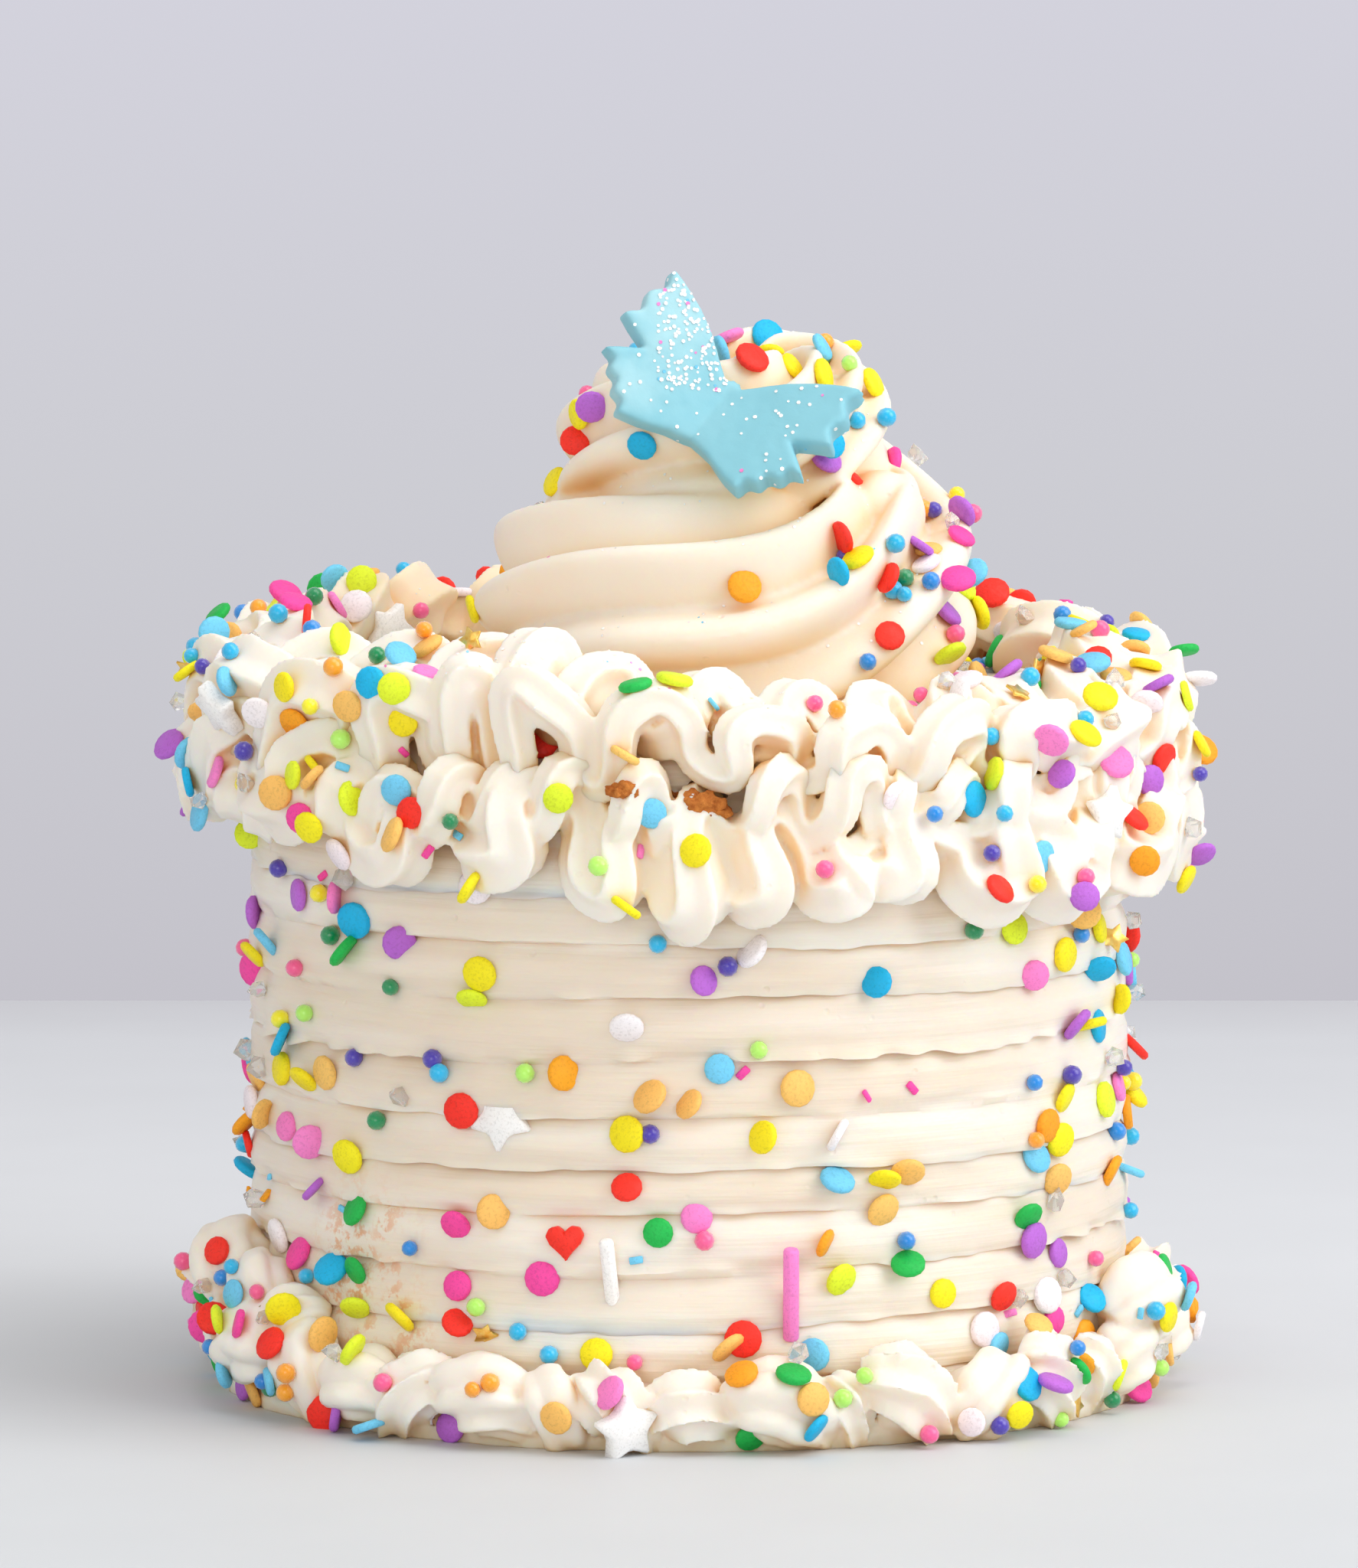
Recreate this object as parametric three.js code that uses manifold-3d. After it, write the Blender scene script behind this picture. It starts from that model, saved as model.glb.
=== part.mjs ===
// A small round birthday cake, in millimetres, +Z up, standing on z = 0 with its axis on Z.
// A golden sponge carries a combed icing coat. Two piped ruffles run round the top edge,
// a row of piped shells runs round the foot, a large piped swirl sits on top, and a fondant
// butterfly leans in the swirl.
import * as THREE from "three";
import { mergeVertices } from "three/addons/utils/BufferGeometryUtils.js";
import Module from "manifold-3d";

const wasm = await Module();
wasm.setup();

// Driving dimensions
const GAP = 0.3; // between touching pieces
const SPONGE_RADIUS = 50.8; // a 4 inch tin
const SPONGE_HEIGHT = 84.2;
const SPONGE_EDGE = 2.5; // rounding of the baked top edge
const COAT_RADIUS = 57;
const COAT_TOP = 90;
const COAT_SHOULDER = [3.7, 8]; // run and rise of the slope under the upper ruffle
const COMB_BANDS = 12;
const COMB_DEPTH = 0.9;
const COMB_WANDER = 0.5; // how far the crests of the bands differ in depth
const ROUND_STEPS = 32; // sides of the round pieces
const CRUMB_WINDOWS = [
  { angle: -88, height: 82.6, size: [6.5, 3.0, 2.3] },
  { angle: -98, height: 83.4, size: [6.5, 2.2, 1.7] },
];

// Each ruffle is one ribbon that runs up and down in stadium-shaped waves on a wall whose
// outward normal leans up by `lean` degrees. `reach` is half the height of a wave, `stand`
// is how far the ribbon stands out, `spread` opens the waves towards the free edge and
// `climb` lifts that edge, as shares of the stand. The row is taller by `extra` round the
// side that faces `tallSide` degrees.
const LOWER_RUFFLE = {
  waves: 34,
  radius: COAT_RADIUS,
  height: 73,
  lean: 0,
  reach: 9,
  stand: 10.2,
  spread: 0.12,
  climb: 0.12,
  tallSide: 0,
  extra: 0,
  uneven: 0.16,
  seed: 3,
};
const UPPER_RUFFLE = {
  waves: 28,
  radius: 53.4,
  height: 90.4,
  lean: 25,
  reach: 8.4,
  stand: 11,
  spread: 0.08,
  climb: 0,
  tallSide: 150,
  extra: 0.3,
  uneven: 0.2,
  seed: 11,
};
const RIBBON_FILL = 0.82; // width of the ribbon as a share of the room in a fold
const WAVE_UNEVEN = 0.22; // how far the waves differ in width

// Piped shells in a ring: each starts as a full bulb and tapers under the next.
const SHELLS = 20;
const SHELL_HEIGHT = 13.4;
const SHELL_STAND = 9;
const SHELL_TAPER = [0.62, 1, 0.94, 0.76];
const SHELL_UNEVEN = 0.08;
const SHELL_SECTION = [[0.85, 0], [1, 0.32], [0.84, 0.72], [0.5, 0.95], [0.24, 1]];

const SWIRL_AXIS = [4.9, -2];
const SWIRL_FOOT = COAT_TOP + GAP;
const SWIRL_TOP = 136;
const SWIRL_TEETH = 8; // teeth of the piping tip
const SWIRL_FLUTE = 0.24; // depth of the flutes as a share of the rope
const SWIRL_TWIST = 3 / SWIRL_TEETH; // climb of the flutes as the rope goes round
const SWIRL_TILT = 1.6;
const SWIRL_PEAK = 0.6;
const DOME_START = 0.86; // share of the height where the top starts to close
const SWIRL_STEPS = 32;
const SWIRL_LEVELS = 17;
const SWIRL_ROPES = [
  // one turn of the piped rope each: radius and height of its middle, half width, half height
  { radius: 20.6, height: 102, wide: 12.6, high: 16.4 },
  { radius: 13.4, height: 124.2, wide: 9.4, high: 11.6 },
];

const BUTTERFLY_CENTRE = [3.2, -25, 128.5];
const BUTTERFLY_THICKNESS = 3.6;
const BUTTERFLY_BODY = [0.58, 0.446, 0.687]; // from tail to head
const LEFT_WING_OUT = [-0.765, 0.003, 0.644];
const RIGHT_WING_OUT = [0.788, -0.522, -0.325];

const icing = new THREE.MeshStandardMaterial({ color: 0xf7ecd6, roughness: 0.5, metalness: 0 });
const crumb = new THREE.MeshStandardMaterial({ color: 0xc98a4b, roughness: 0.9, metalness: 0 });
const fondant = new THREE.MeshStandardMaterial({ color: 0x9fdcea, roughness: 0.6, metalness: 0 });

// A repeatable number from -1 to 1 for piece i of a seeded row.
function uneven(i, seed) {
  const wild = Math.sin(i * 12.9898 + seed * 78.233) * 43758.5453;
  return 2 * (wild - Math.floor(wild)) - 1;
}

function signedVolume(points, faces) {
  let total = 0;
  for (const [a, b, c] of faces) {
    const cross = new THREE.Vector3().crossVectors(points[b], points[c]);
    total += points[a].dot(cross) / 6;
  }
  return total;
}

// A closed geometry from points and triangles, turned so that its faces point out.
function closedGeometry(points, faces) {
  const outward = signedVolume(points, faces) > 0;
  const geometry = new THREE.BufferGeometry().setFromPoints(points);
  geometry.setIndex(faces.flatMap(([a, b, c]) => (outward ? [a, b, c] : [a, c, b])));
  return geometry;
}

// Bands of triangles between rings with the same number of points.
function bandsBetween(rings, ringSize, closed) {
  const faces = [];
  const bands = closed ? rings : rings - 1;
  for (let i = 0; i < bands; i++) {
    for (let j = 0; j < ringSize; j++) {
      const here = i * ringSize + j;
      const beside = i * ringSize + ((j + 1) % ringSize);
      const next = ((i + 1) % rings) * ringSize + j;
      const nextBeside = ((i + 1) % rings) * ringSize + ((j + 1) % ringSize);
      faces.push([here, next, nextBeside], [here, nextBeside, beside]);
    }
  }
  return faces;
}

function toSolid(geometry) {
  const bare = geometry.clone();
  bare.deleteAttribute("normal");
  bare.deleteAttribute("uv");
  const merged = mergeVertices(bare, 1e-4);
  const triangles = [];
  for (let i = 0; i < merged.index.count; i += 3) {
    const corners = [0, 1, 2].map((k) => merged.index.getX(i + k));
    if (new Set(corners).size === 3) triangles.push(...corners);
  }
  const mesh = new wasm.Mesh({
    numProp: 3,
    vertProperties: merged.attributes.position.array,
    triVerts: new Uint32Array(triangles),
  });
  return new wasm.Manifold(mesh);
}

function toGeometry(solid) {
  const mesh = solid.getMesh();
  const geometry = new THREE.BufferGeometry();
  geometry.setAttribute("position", new THREE.BufferAttribute(mesh.vertProperties, 3));
  geometry.setIndex(new THREE.BufferAttribute(mesh.triVerts, 1));
  return geometry;
}

function piece(name, geometry, material) {
  const mesh = new THREE.Mesh(geometry, material);
  mesh.name = name;
  return mesh;
}

// A lathe about Z: profile points are [radius, z], from the axis and back to it.
function turned(profile) {
  const outline = profile.map(([radius, z]) => new THREE.Vector2(radius, z));
  const geometry = new THREE.LatheGeometry(outline, ROUND_STEPS);
  return toGeometry(toSolid(geometry.rotateX(Math.PI / 2)));
}

function spongeGeometry() {
  return turned([
    [0, 0],
    [SPONGE_RADIUS, 0],
    [SPONGE_RADIUS, SPONGE_HEIGHT - SPONGE_EDGE],
    [SPONGE_RADIUS - SPONGE_EDGE, SPONGE_HEIGHT],
    [0, SPONGE_HEIGHT],
  ]);
}

// The wall of icing that the comb has drawn: a rounded crest and a groove in every band.
function combedWall() {
  const wall = [];
  const top = COAT_TOP - COAT_SHOULDER[1];
  for (let band = 0; band < COMB_BANDS; band++) {
    const pitch = top / COMB_BANDS;
    const crest = COAT_RADIUS - (COMB_WANDER * (1 + uneven(band, 5))) / 2;
    wall.push([crest - COMB_DEPTH, (band + 0.06) * pitch], [crest, (band + 0.6) * pitch]);
  }
  return wall;
}

function icingCoatGeometry() {
  const inside = SPONGE_RADIUS + GAP;
  const ceiling = SPONGE_HEIGHT + GAP;
  const coat = turned([
    [0, ceiling],
    [inside, ceiling],
    [inside, 0],
    [COAT_RADIUS - COMB_DEPTH, 0],
    ...combedWall(),
    [COAT_RADIUS, COAT_TOP - COAT_SHOULDER[1]],
    [COAT_RADIUS - COAT_SHOULDER[0], COAT_TOP],
    [0, COAT_TOP],
  ]);
  let solid = toSolid(coat);
  for (const { angle, height, size } of CRUMB_WINDOWS) {
    const turn = THREE.MathUtils.degToRad(angle);
    const hole = new THREE.SphereGeometry(1, 10, 6);
    hole.scale(...size).rotateZ(turn);
    hole.translate(COAT_RADIUS * Math.cos(turn), COAT_RADIUS * Math.sin(turn), height);
    solid = solid.subtract(toSolid(hole));
  }
  return toGeometry(solid);
}

// The middle line of a ribbon as [angle, rise, direction], four samples to a fold.
function ribbonLine({ waves, reach, uneven: share, seed }, halfWidth) {
  const widths = Array.from({ length: waves }, (_, i) => 1 + WAVE_UNEVEN * uneven(i, seed));
  const whole = widths.reduce((sum, width) => sum + width, 0);
  const line = [];
  let start = 0;
  widths.forEach((width, i) => {
    const turn = (width / whole) * 2 * Math.PI;
    const fold = turn / 4;
    const foldRise = halfWidth / RIBBON_FILL;
    const crest = reach * (1 - share * Math.abs(uneven(i, seed + 1))) - halfWidth;
    const trough = reach * (1 - share * Math.abs(uneven(i, seed + 2))) - halfWidth;
    line.push([start, foldRise - trough, 90]);
    for (const bend of [90, 30, -30, -90]) {
      const around = THREE.MathUtils.degToRad(bend);
      const rise = crest - foldRise + foldRise * Math.cos(around);
      line.push([start + fold * (1 - Math.sin(around)), rise, bend]);
    }
    line.push([start + 2 * fold, foldRise - trough, -90]);
    for (const bend of [-30, 30]) {
      const around = THREE.MathUtils.degToRad(bend);
      const rise = foldRise - trough - foldRise * Math.cos(around);
      line.push([start + fold * (3 + Math.sin(around)), rise, bend]);
    }
    start += turn;
  });
  return line;
}

function ruffleGeometry(row) {
  const { waves, radius, height, lean, stand, spread, climb, tallSide, extra } = row;
  const halfWidth = (RIBBON_FILL * Math.PI * radius) / (2 * waves);
  const line = ribbonLine(row, halfWidth);
  const up = THREE.MathUtils.degToRad(lean);
  // Across the ribbon and out from the wall: a foot, a thicker middle and a rounded free edge.
  const section = [
    [-0.8 * halfWidth, GAP],
    [0.8 * halfWidth, GAP],
    [halfWidth, 0.66 * stand],
    [0, stand],
    [-halfWidth, 0.66 * stand],
  ];
  const points = [];
  for (const [angle, rise, bend] of line) {
    const along = THREE.MathUtils.degToRad(bend);
    for (const [across, out] of section) {
      const turn = angle - (across * Math.sin(along)) / radius;
      const side = Math.cos(turn - THREE.MathUtils.degToRad(tallSide));
      const taller = extra * Math.max(0, side);
      const open = (rise + across * Math.cos(along)) * (1 + (spread * out) / stand);
      const level = open + (climb + taller) * out;
      const reachOut = radius + out * Math.cos(up) - level * Math.sin(up);
      const z = height + out * Math.sin(up) + level * Math.cos(up);
      points.push(new THREE.Vector3(reachOut * Math.cos(turn), reachOut * Math.sin(turn), z));
    }
  }
  return closedGeometry(points, bandsBetween(line.length, section.length, true));
}

// SHELL_SECTION runs out from the wall and up, in shares of the shell's stand and height.
function shellBorderGeometry() {
  const steps = SHELLS * SHELL_TAPER.length;
  const points = [];
  for (let step = 0; step < steps; step++) {
    const shell = Math.floor(step / SHELL_TAPER.length);
    const taper = SHELL_TAPER[step % SHELL_TAPER.length];
    const size = taper * (1 - SHELL_UNEVEN * (1 + uneven(shell, 23)));
    const turn = ((step + 0.3 * uneven(shell, 29)) / steps) * 2 * Math.PI;
    const outline = [[GAP, 0]];
    for (const [out, up] of SHELL_SECTION) {
      outline.push([out * SHELL_STAND * size, up * SHELL_HEIGHT * size]);
    }
    outline.push([GAP, 0.86 * SHELL_HEIGHT * size]);
    for (const [out, z] of outline) {
      const reach = COAT_RADIUS + out;
      points.push(new THREE.Vector3(reach * Math.cos(turn), reach * Math.sin(turn), z));
    }
  }
  return closedGeometry(points, bandsBetween(steps, SHELL_SECTION.length + 2, true));
}

// How far the swirl reaches from its axis at a height and angle: the widest rope there,
// fluted by the teeth of the tip, whose flutes climb as the rope goes round.
function swirlReach(z, angle) {
  let widest = 2;
  for (const { radius, height, wide, high } of SWIRL_ROPES) {
    const middle = height + SWIRL_TILT * Math.sin(angle);
    const lift = (z - middle) / high;
    if (Math.abs(lift) >= 1) continue;
    const around = Math.asin(lift);
    const flute = Math.abs(Math.sin((SWIRL_TEETH / 2) * (around - SWIRL_TWIST * angle)));
    const reach = radius + wide * Math.cos(around) * (1 - SWIRL_FLUTE * (1 - flute));
    widest = Math.max(widest, reach);
  }
  return widest;
}

function swirlSolid() {
  const points = [];
  for (let level = 0; level <= SWIRL_LEVELS; level++) {
    const share = level / SWIRL_LEVELS;
    const z = THREE.MathUtils.lerp(SWIRL_FOOT, SWIRL_TOP, share);
    // The last levels close over the second turn in a dome.
    const domed = Math.max(0, (share - DOME_START) / (1 - DOME_START));
    const close = Math.sqrt(Math.max(0.02, 1 - domed ** 2));
    for (let step = 0; step < SWIRL_STEPS; step++) {
      const angle = (2 * Math.PI * step) / SWIRL_STEPS;
      const reach = close * swirlReach(Math.min(z, SWIRL_TOP - 5), angle);
      const x = SWIRL_AXIS[0] + reach * Math.cos(angle);
      const y = SWIRL_AXIS[1] + reach * Math.sin(angle);
      points.push(new THREE.Vector3(x, y, z));
    }
  }
  const faces = bandsBetween(SWIRL_LEVELS + 1, SWIRL_STEPS, false);
  const foot = points.push(new THREE.Vector3(...SWIRL_AXIS, SWIRL_FOOT)) - 1;
  const peak = points.push(new THREE.Vector3(...SWIRL_AXIS, SWIRL_TOP + SWIRL_PEAK)) - 1;
  const rim = SWIRL_LEVELS * SWIRL_STEPS;
  for (let step = 0; step < SWIRL_STEPS; step++) {
    const beside = (step + 1) % SWIRL_STEPS;
    faces.push([foot, step, beside], [peak, rim + beside, rim + step]);
  }
  return toSolid(closedGeometry(points, faces));
}

// A wing's margin: hollow scallops of a given depth from one corner to another.
function scallops(shape, from, to, count, depth) {
  const side = new THREE.Vector2(to[1] - from[1], from[0] - to[0]).normalize();
  for (let i = 1; i <= count; i++) {
    const end = [0, 1].map((k) => THREE.MathUtils.lerp(from[k], to[k], i / count));
    const middle = [0, 1].map((k) => THREE.MathUtils.lerp(from[k], to[k], (i - 0.5) / count));
    const control = [middle[0] + side.x * 2 * depth, middle[1] + side.y * 2 * depth];
    shape.quadraticCurveTo(...control, ...end);
  }
}

// One fore and hind wing, out from the body's middle line (u) and along the body (v).
function wingShape() {
  const shape = new THREE.Shape();
  const foreMargin = [[15, 11.5], [16.4, 2.4]];
  const hindMargin = [[15.5, -3.2], [9.3, -8.4]];
  shape.moveTo(-0.6, 5);
  shape.lineTo(1.2, 4.2);
  shape.quadraticCurveTo(8, 10, ...foreMargin[0]);
  scallops(shape, ...foreMargin, 3, 0.8);
  shape.lineTo(11.4, 0.8);
  shape.lineTo(...hindMargin[0]);
  scallops(shape, ...hindMargin, 3, 0.8);
  shape.quadraticCurveTo(6, -7.6, 3, -5.9);
  shape.lineTo(-0.6, -4.8);
  return shape;
}

// The two pairs of wings folded up about the body, as one piece of fondant. `grow` makes
// the slightly larger form that the swirl is cleared by.
function butterflySolid(grow) {
  const body = new THREE.Vector3(...BUTTERFLY_BODY).normalize();
  const size = 1 + grow / 10;
  const thick = BUTTERFLY_THICKNESS + 2 * grow;
  let solid = null;
  for (const out of [LEFT_WING_OUT, RIGHT_WING_OUT]) {
    const wing = new THREE.ExtrudeGeometry(wingShape(), {
      depth: thick,
      bevelEnabled: false,
      curveSegments: 3,
    });
    const outward = new THREE.Vector3(...out);
    outward.addScaledVector(body, -outward.dot(body)).normalize();
    const face = new THREE.Vector3().crossVectors(outward, body);
    // The shown face is the one towards the front, so the thickness lies behind it.
    const back = face.y > 0 ? -grow : grow - thick;
    wing.translate(0, 0, back).scale(size, size, 1);
    wing.applyMatrix4(new THREE.Matrix4().makeBasis(outward, body, face));
    wing.translate(...BUTTERFLY_CENTRE);
    solid = solid ? solid.add(toSolid(wing)) : toSolid(wing);
  }
  return solid;
}

const cake = new THREE.Group();
cake.add(piece("sponge", spongeGeometry(), crumb));
cake.add(piece("icing_coat", icingCoatGeometry(), icing));
cake.add(piece("shell_border", shellBorderGeometry(), icing));
cake.add(piece("lower_ruffle", ruffleGeometry(LOWER_RUFFLE), icing));
cake.add(piece("upper_ruffle", ruffleGeometry(UPPER_RUFFLE), icing));
cake.add(piece("swirl", toGeometry(swirlSolid().subtract(butterflySolid(GAP))), icing));
cake.add(piece("butterfly", toGeometry(butterflySolid(0)), fondant));

const bounds = new THREE.Box3().setFromObject(cake);
const centre = bounds.getCenter(new THREE.Vector3());
cake.position.set(-centre.x, -centre.y, -bounds.min.z);

export default cake;
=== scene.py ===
"""A small round birthday cake: combed buttercream over a golden sponge, two piped ruffles
round the top edge, piped shells round the foot, a large piped swirl, a fondant butterfly
and scattered sprinkles. Run as a script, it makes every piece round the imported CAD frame."""
import math
import random

import bmesh
import bpy
import numpy as np
from mathutils import Matrix, Vector, noise
from mathutils.bvhtree import BVHTree


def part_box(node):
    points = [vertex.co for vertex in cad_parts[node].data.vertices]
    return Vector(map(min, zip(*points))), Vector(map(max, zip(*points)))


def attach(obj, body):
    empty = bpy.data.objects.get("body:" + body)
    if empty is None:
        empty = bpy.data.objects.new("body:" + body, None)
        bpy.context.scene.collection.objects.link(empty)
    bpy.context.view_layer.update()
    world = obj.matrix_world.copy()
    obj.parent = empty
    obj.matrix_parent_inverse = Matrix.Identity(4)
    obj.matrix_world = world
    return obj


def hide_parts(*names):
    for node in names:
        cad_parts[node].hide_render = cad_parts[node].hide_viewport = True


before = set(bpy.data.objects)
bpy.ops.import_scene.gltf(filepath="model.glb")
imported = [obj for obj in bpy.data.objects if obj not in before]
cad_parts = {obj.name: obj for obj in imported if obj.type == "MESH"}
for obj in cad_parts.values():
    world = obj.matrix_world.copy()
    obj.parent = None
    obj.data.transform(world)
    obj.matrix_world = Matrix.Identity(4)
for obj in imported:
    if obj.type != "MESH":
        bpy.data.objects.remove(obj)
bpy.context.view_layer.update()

bl_info = {
    "name": "Birthday Cake",
    "version": (1, 0, 0),
    "blender": (4, 5, 0),
    "location": "View3D > Sidebar > Cake",
    "description": "Builds a small iced birthday cake with piping and sprinkles",
    "category": "Add Mesh",
}

MM = 0.001
TURN = 2 * math.pi


# ---------------------------------------------------------------- places from the frame

def middle(node):
    low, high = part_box(node)
    return (low + high) / 2


def drum(node):
    """A round piece's radius and the height of its top."""
    low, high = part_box(node)
    return (high.x - low.x) / 2, high.z


AXIS = Vector((middle("sponge").x, middle("sponge").y, 0))
SPONGE_RADIUS, SPONGE_TOP = drum("sponge")
COAT_RADIUS, COAT_TOP = drum("icing_coat")
# The swirl stands a little off the cake's axis.
SWIRL_AXIS = AXIS + Vector((4.9, -2, 0)) * MM
# Where the camera stands. Places seen from the front are aimed at from here.
EYE = AXIS + Vector((-1.29, -1600, 255)) * MM


def around(degrees, radius, z):
    """A point on the cake: degrees from the front towards the right, radius and height."""
    angle = math.radians(degrees)
    return AXIS + Vector((radius * math.sin(angle), -radius * math.cos(angle), z))


def uneven(place, seed, scale=1.0):
    """Smooth, repeatable unevenness from about -1 to 1."""
    return 1.7 * noise.noise(Vector((place * scale, seed * 7.31, seed * 1.73)))


def near(degrees, centre, width):
    """1 at one place round the cake, fading away past the width."""
    return math.exp(-((((degrees + (180 - centre)) % 360 - 180) / width) ** 2))


def blend_values(keys, degrees):
    """A value round the cake, eased between the nearest keys {degrees: value}."""
    stops = sorted(keys)
    degrees = (degrees - stops[0]) % 360 + stops[0]
    ring = stops + [stops[0] + 360]
    for low, high in zip(ring, ring[1:]):
        if low <= degrees <= high:
            share = (degrees - low) / (high - low)
            share = share * share * (3 - 2 * share)
            first, last = keys[low], keys[high if high in keys else stops[0]]
            return first + (last - first) * share
    return keys[stops[0]]


# ---------------------------------------------------------------- working as by hand

def deselect():
    if bpy.context.object and bpy.context.object.mode != "OBJECT":
        bpy.ops.object.mode_set(mode="OBJECT")
    bpy.ops.object.select_all(action="DESELECT")


def pick(obj):
    """Selects one object alone and makes it the active one."""
    deselect()
    obj.select_set(True)
    bpy.context.view_layer.objects.active = obj
    return obj


def add_object(name, data):
    obj = bpy.data.objects.new(name, data)
    bpy.context.scene.collection.objects.link(obj)
    return obj


def add_curve(name, points, flat=False, closed=True):
    """A straight-edged curve through the points."""
    curve = bpy.data.curves.new(name, "CURVE")
    curve.dimensions = "2D" if flat else "3D"
    spline = curve.splines.new("POLY")
    spline.points.add(len(points) - 1)
    for point, place in zip(spline.points, points):
        point.co = (*place, 1)
    spline.use_cyclic_u = closed
    return curve


def apply_modifier(obj, kind, **settings):
    pick(obj)
    modifier = obj.modifiers.new(kind.title(), kind)
    for name, value in settings.items():
        setattr(modifier, name, value)
    bpy.ops.object.modifier_apply(modifier=modifier.name)


def settle(obj, name):
    """Names a piece and moves its place into its mesh."""
    pick(obj)
    bpy.ops.object.transform_apply(location=True, rotation=True, scale=True)
    obj.name = name
    obj.data.name = name
    return obj


def finish_piece(obj, material, slot, *nodes):
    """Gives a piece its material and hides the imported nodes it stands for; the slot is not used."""
    obj.data.materials.clear()
    obj.data.materials.append(material)
    if nodes:
        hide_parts(*nodes)
    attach(obj, "root")


def join(objects, name):
    deselect()
    for obj in objects:
        obj.select_set(True)
    bpy.context.view_layer.objects.active = objects[0]
    bpy.ops.object.join()
    objects[0].name = name
    return objects[0]


def largest_body(obj):
    """Drops the small closed bubbles that remeshing leaves inside cream."""
    bm = bmesh.new()
    bm.from_mesh(obj.data)
    seen, groups = set(), []
    for start in bm.verts:
        if start in seen:
            continue
        group, front = [], [start]
        seen.add(start)
        while front:
            vert = front.pop()
            group.append(vert)
            for edge in vert.link_edges:
                other = edge.other_vert(vert)
                if other not in seen:
                    seen.add(other)
                    front.append(other)
        groups.append(group)
    groups.sort(key=len)
    bmesh.ops.delete(bm, geom=[v for g in groups[:-1] for v in g], context="VERTS")
    bm.to_mesh(obj.data)
    bm.free()


# ---------------------------------------------------------------- piping

def tip_section(name, teeth, depth, power, full=False, lean=1.0, spread=0.0):
    """The outline that a star tip gives. An open tip leaves as many thin ridges as it has
    teeth, with hollows between them; a full one leaves round bands with sharp creases, which
    lean over when lean isn't 1 and differ in width when spread isn't 0."""
    per_tooth = 12
    count = teeth * per_tooth
    points = []
    for index in range(count):
        angle = TURN * index / count
        place = index / count + spread * math.sin(angle + 2)
        wave = abs(math.sin(math.pi * (teeth * place % 1) ** lean)) ** power
        radius = 1 - depth * (1 - wave if full else wave)
        points.append((radius * math.cos(angle), radius * math.sin(angle), 0))
    return add_object(name, add_curve(name, points, flat=True))


def pipe(name, path, widths, section, tilts=None, closed=True):
    """A rope of cream along a path, as thick at each point as its width says."""
    curve = add_curve(name, path, closed=closed)
    curve.twist_mode = "MINIMUM"
    for index, point in enumerate(curve.splines[0].points):
        point.radius = widths[index]
        point.tilt = tilts[index] if tilts else 0
    curve.bevel_mode = "OBJECT"
    curve.bevel_object = section
    curve.use_fill_caps = not closed
    pick(add_object(name, curve))
    bpy.ops.object.convert(target="MESH")
    return bpy.context.object


def cream(parts, name, voxel, faces, smooth=2):
    """Runs piped parts together into one body with soft creases."""
    obj = join(parts, name)
    apply_modifier(obj, "REMESH", mode="VOXEL", voxel_size=voxel, use_smooth_shade=True)
    largest_body(obj)
    apply_modifier(obj, "SMOOTH", factor=0.5, iterations=smooth)
    have = sum(len(p.vertices) - 2 for p in obj.data.polygons)
    if have > faces:
        apply_modifier(obj, "DECIMATE", ratio=faces / have)
    pick(obj)
    bpy.ops.object.shade_smooth()
    return obj


def cut_below(obj, z):
    """Cuts a piece flat at a height and closes the cut."""
    pick(obj)
    bpy.ops.object.mode_set(mode="EDIT")
    bpy.ops.mesh.select_all(action="SELECT")
    bpy.ops.mesh.bisect(
        plane_co=(0, 0, z), plane_no=(0, 0, 1), use_fill=True, clear_inner=True, threshold=1e-6
    )
    bpy.ops.object.mode_set(mode="OBJECT")


def roughen(obj, amount, size, seed):
    """Presses small soft dents into a surface along its normals."""
    mesh = obj.data
    place = Vector((seed * 3.1, seed * 5.7, seed * 1.3))
    moved = []
    for vert in mesh.vertices:
        shift = noise.noise(vert.co / size + place) + 0.4 * noise.noise(vert.co * 3 / size)
        moved.append(vert.co + vert.normal * shift * amount)
    mesh.vertices.foreach_set("co", np.array(moved, np.float32).ravel())
    mesh.update()


# ---------------------------------------------------------------- materials

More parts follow.
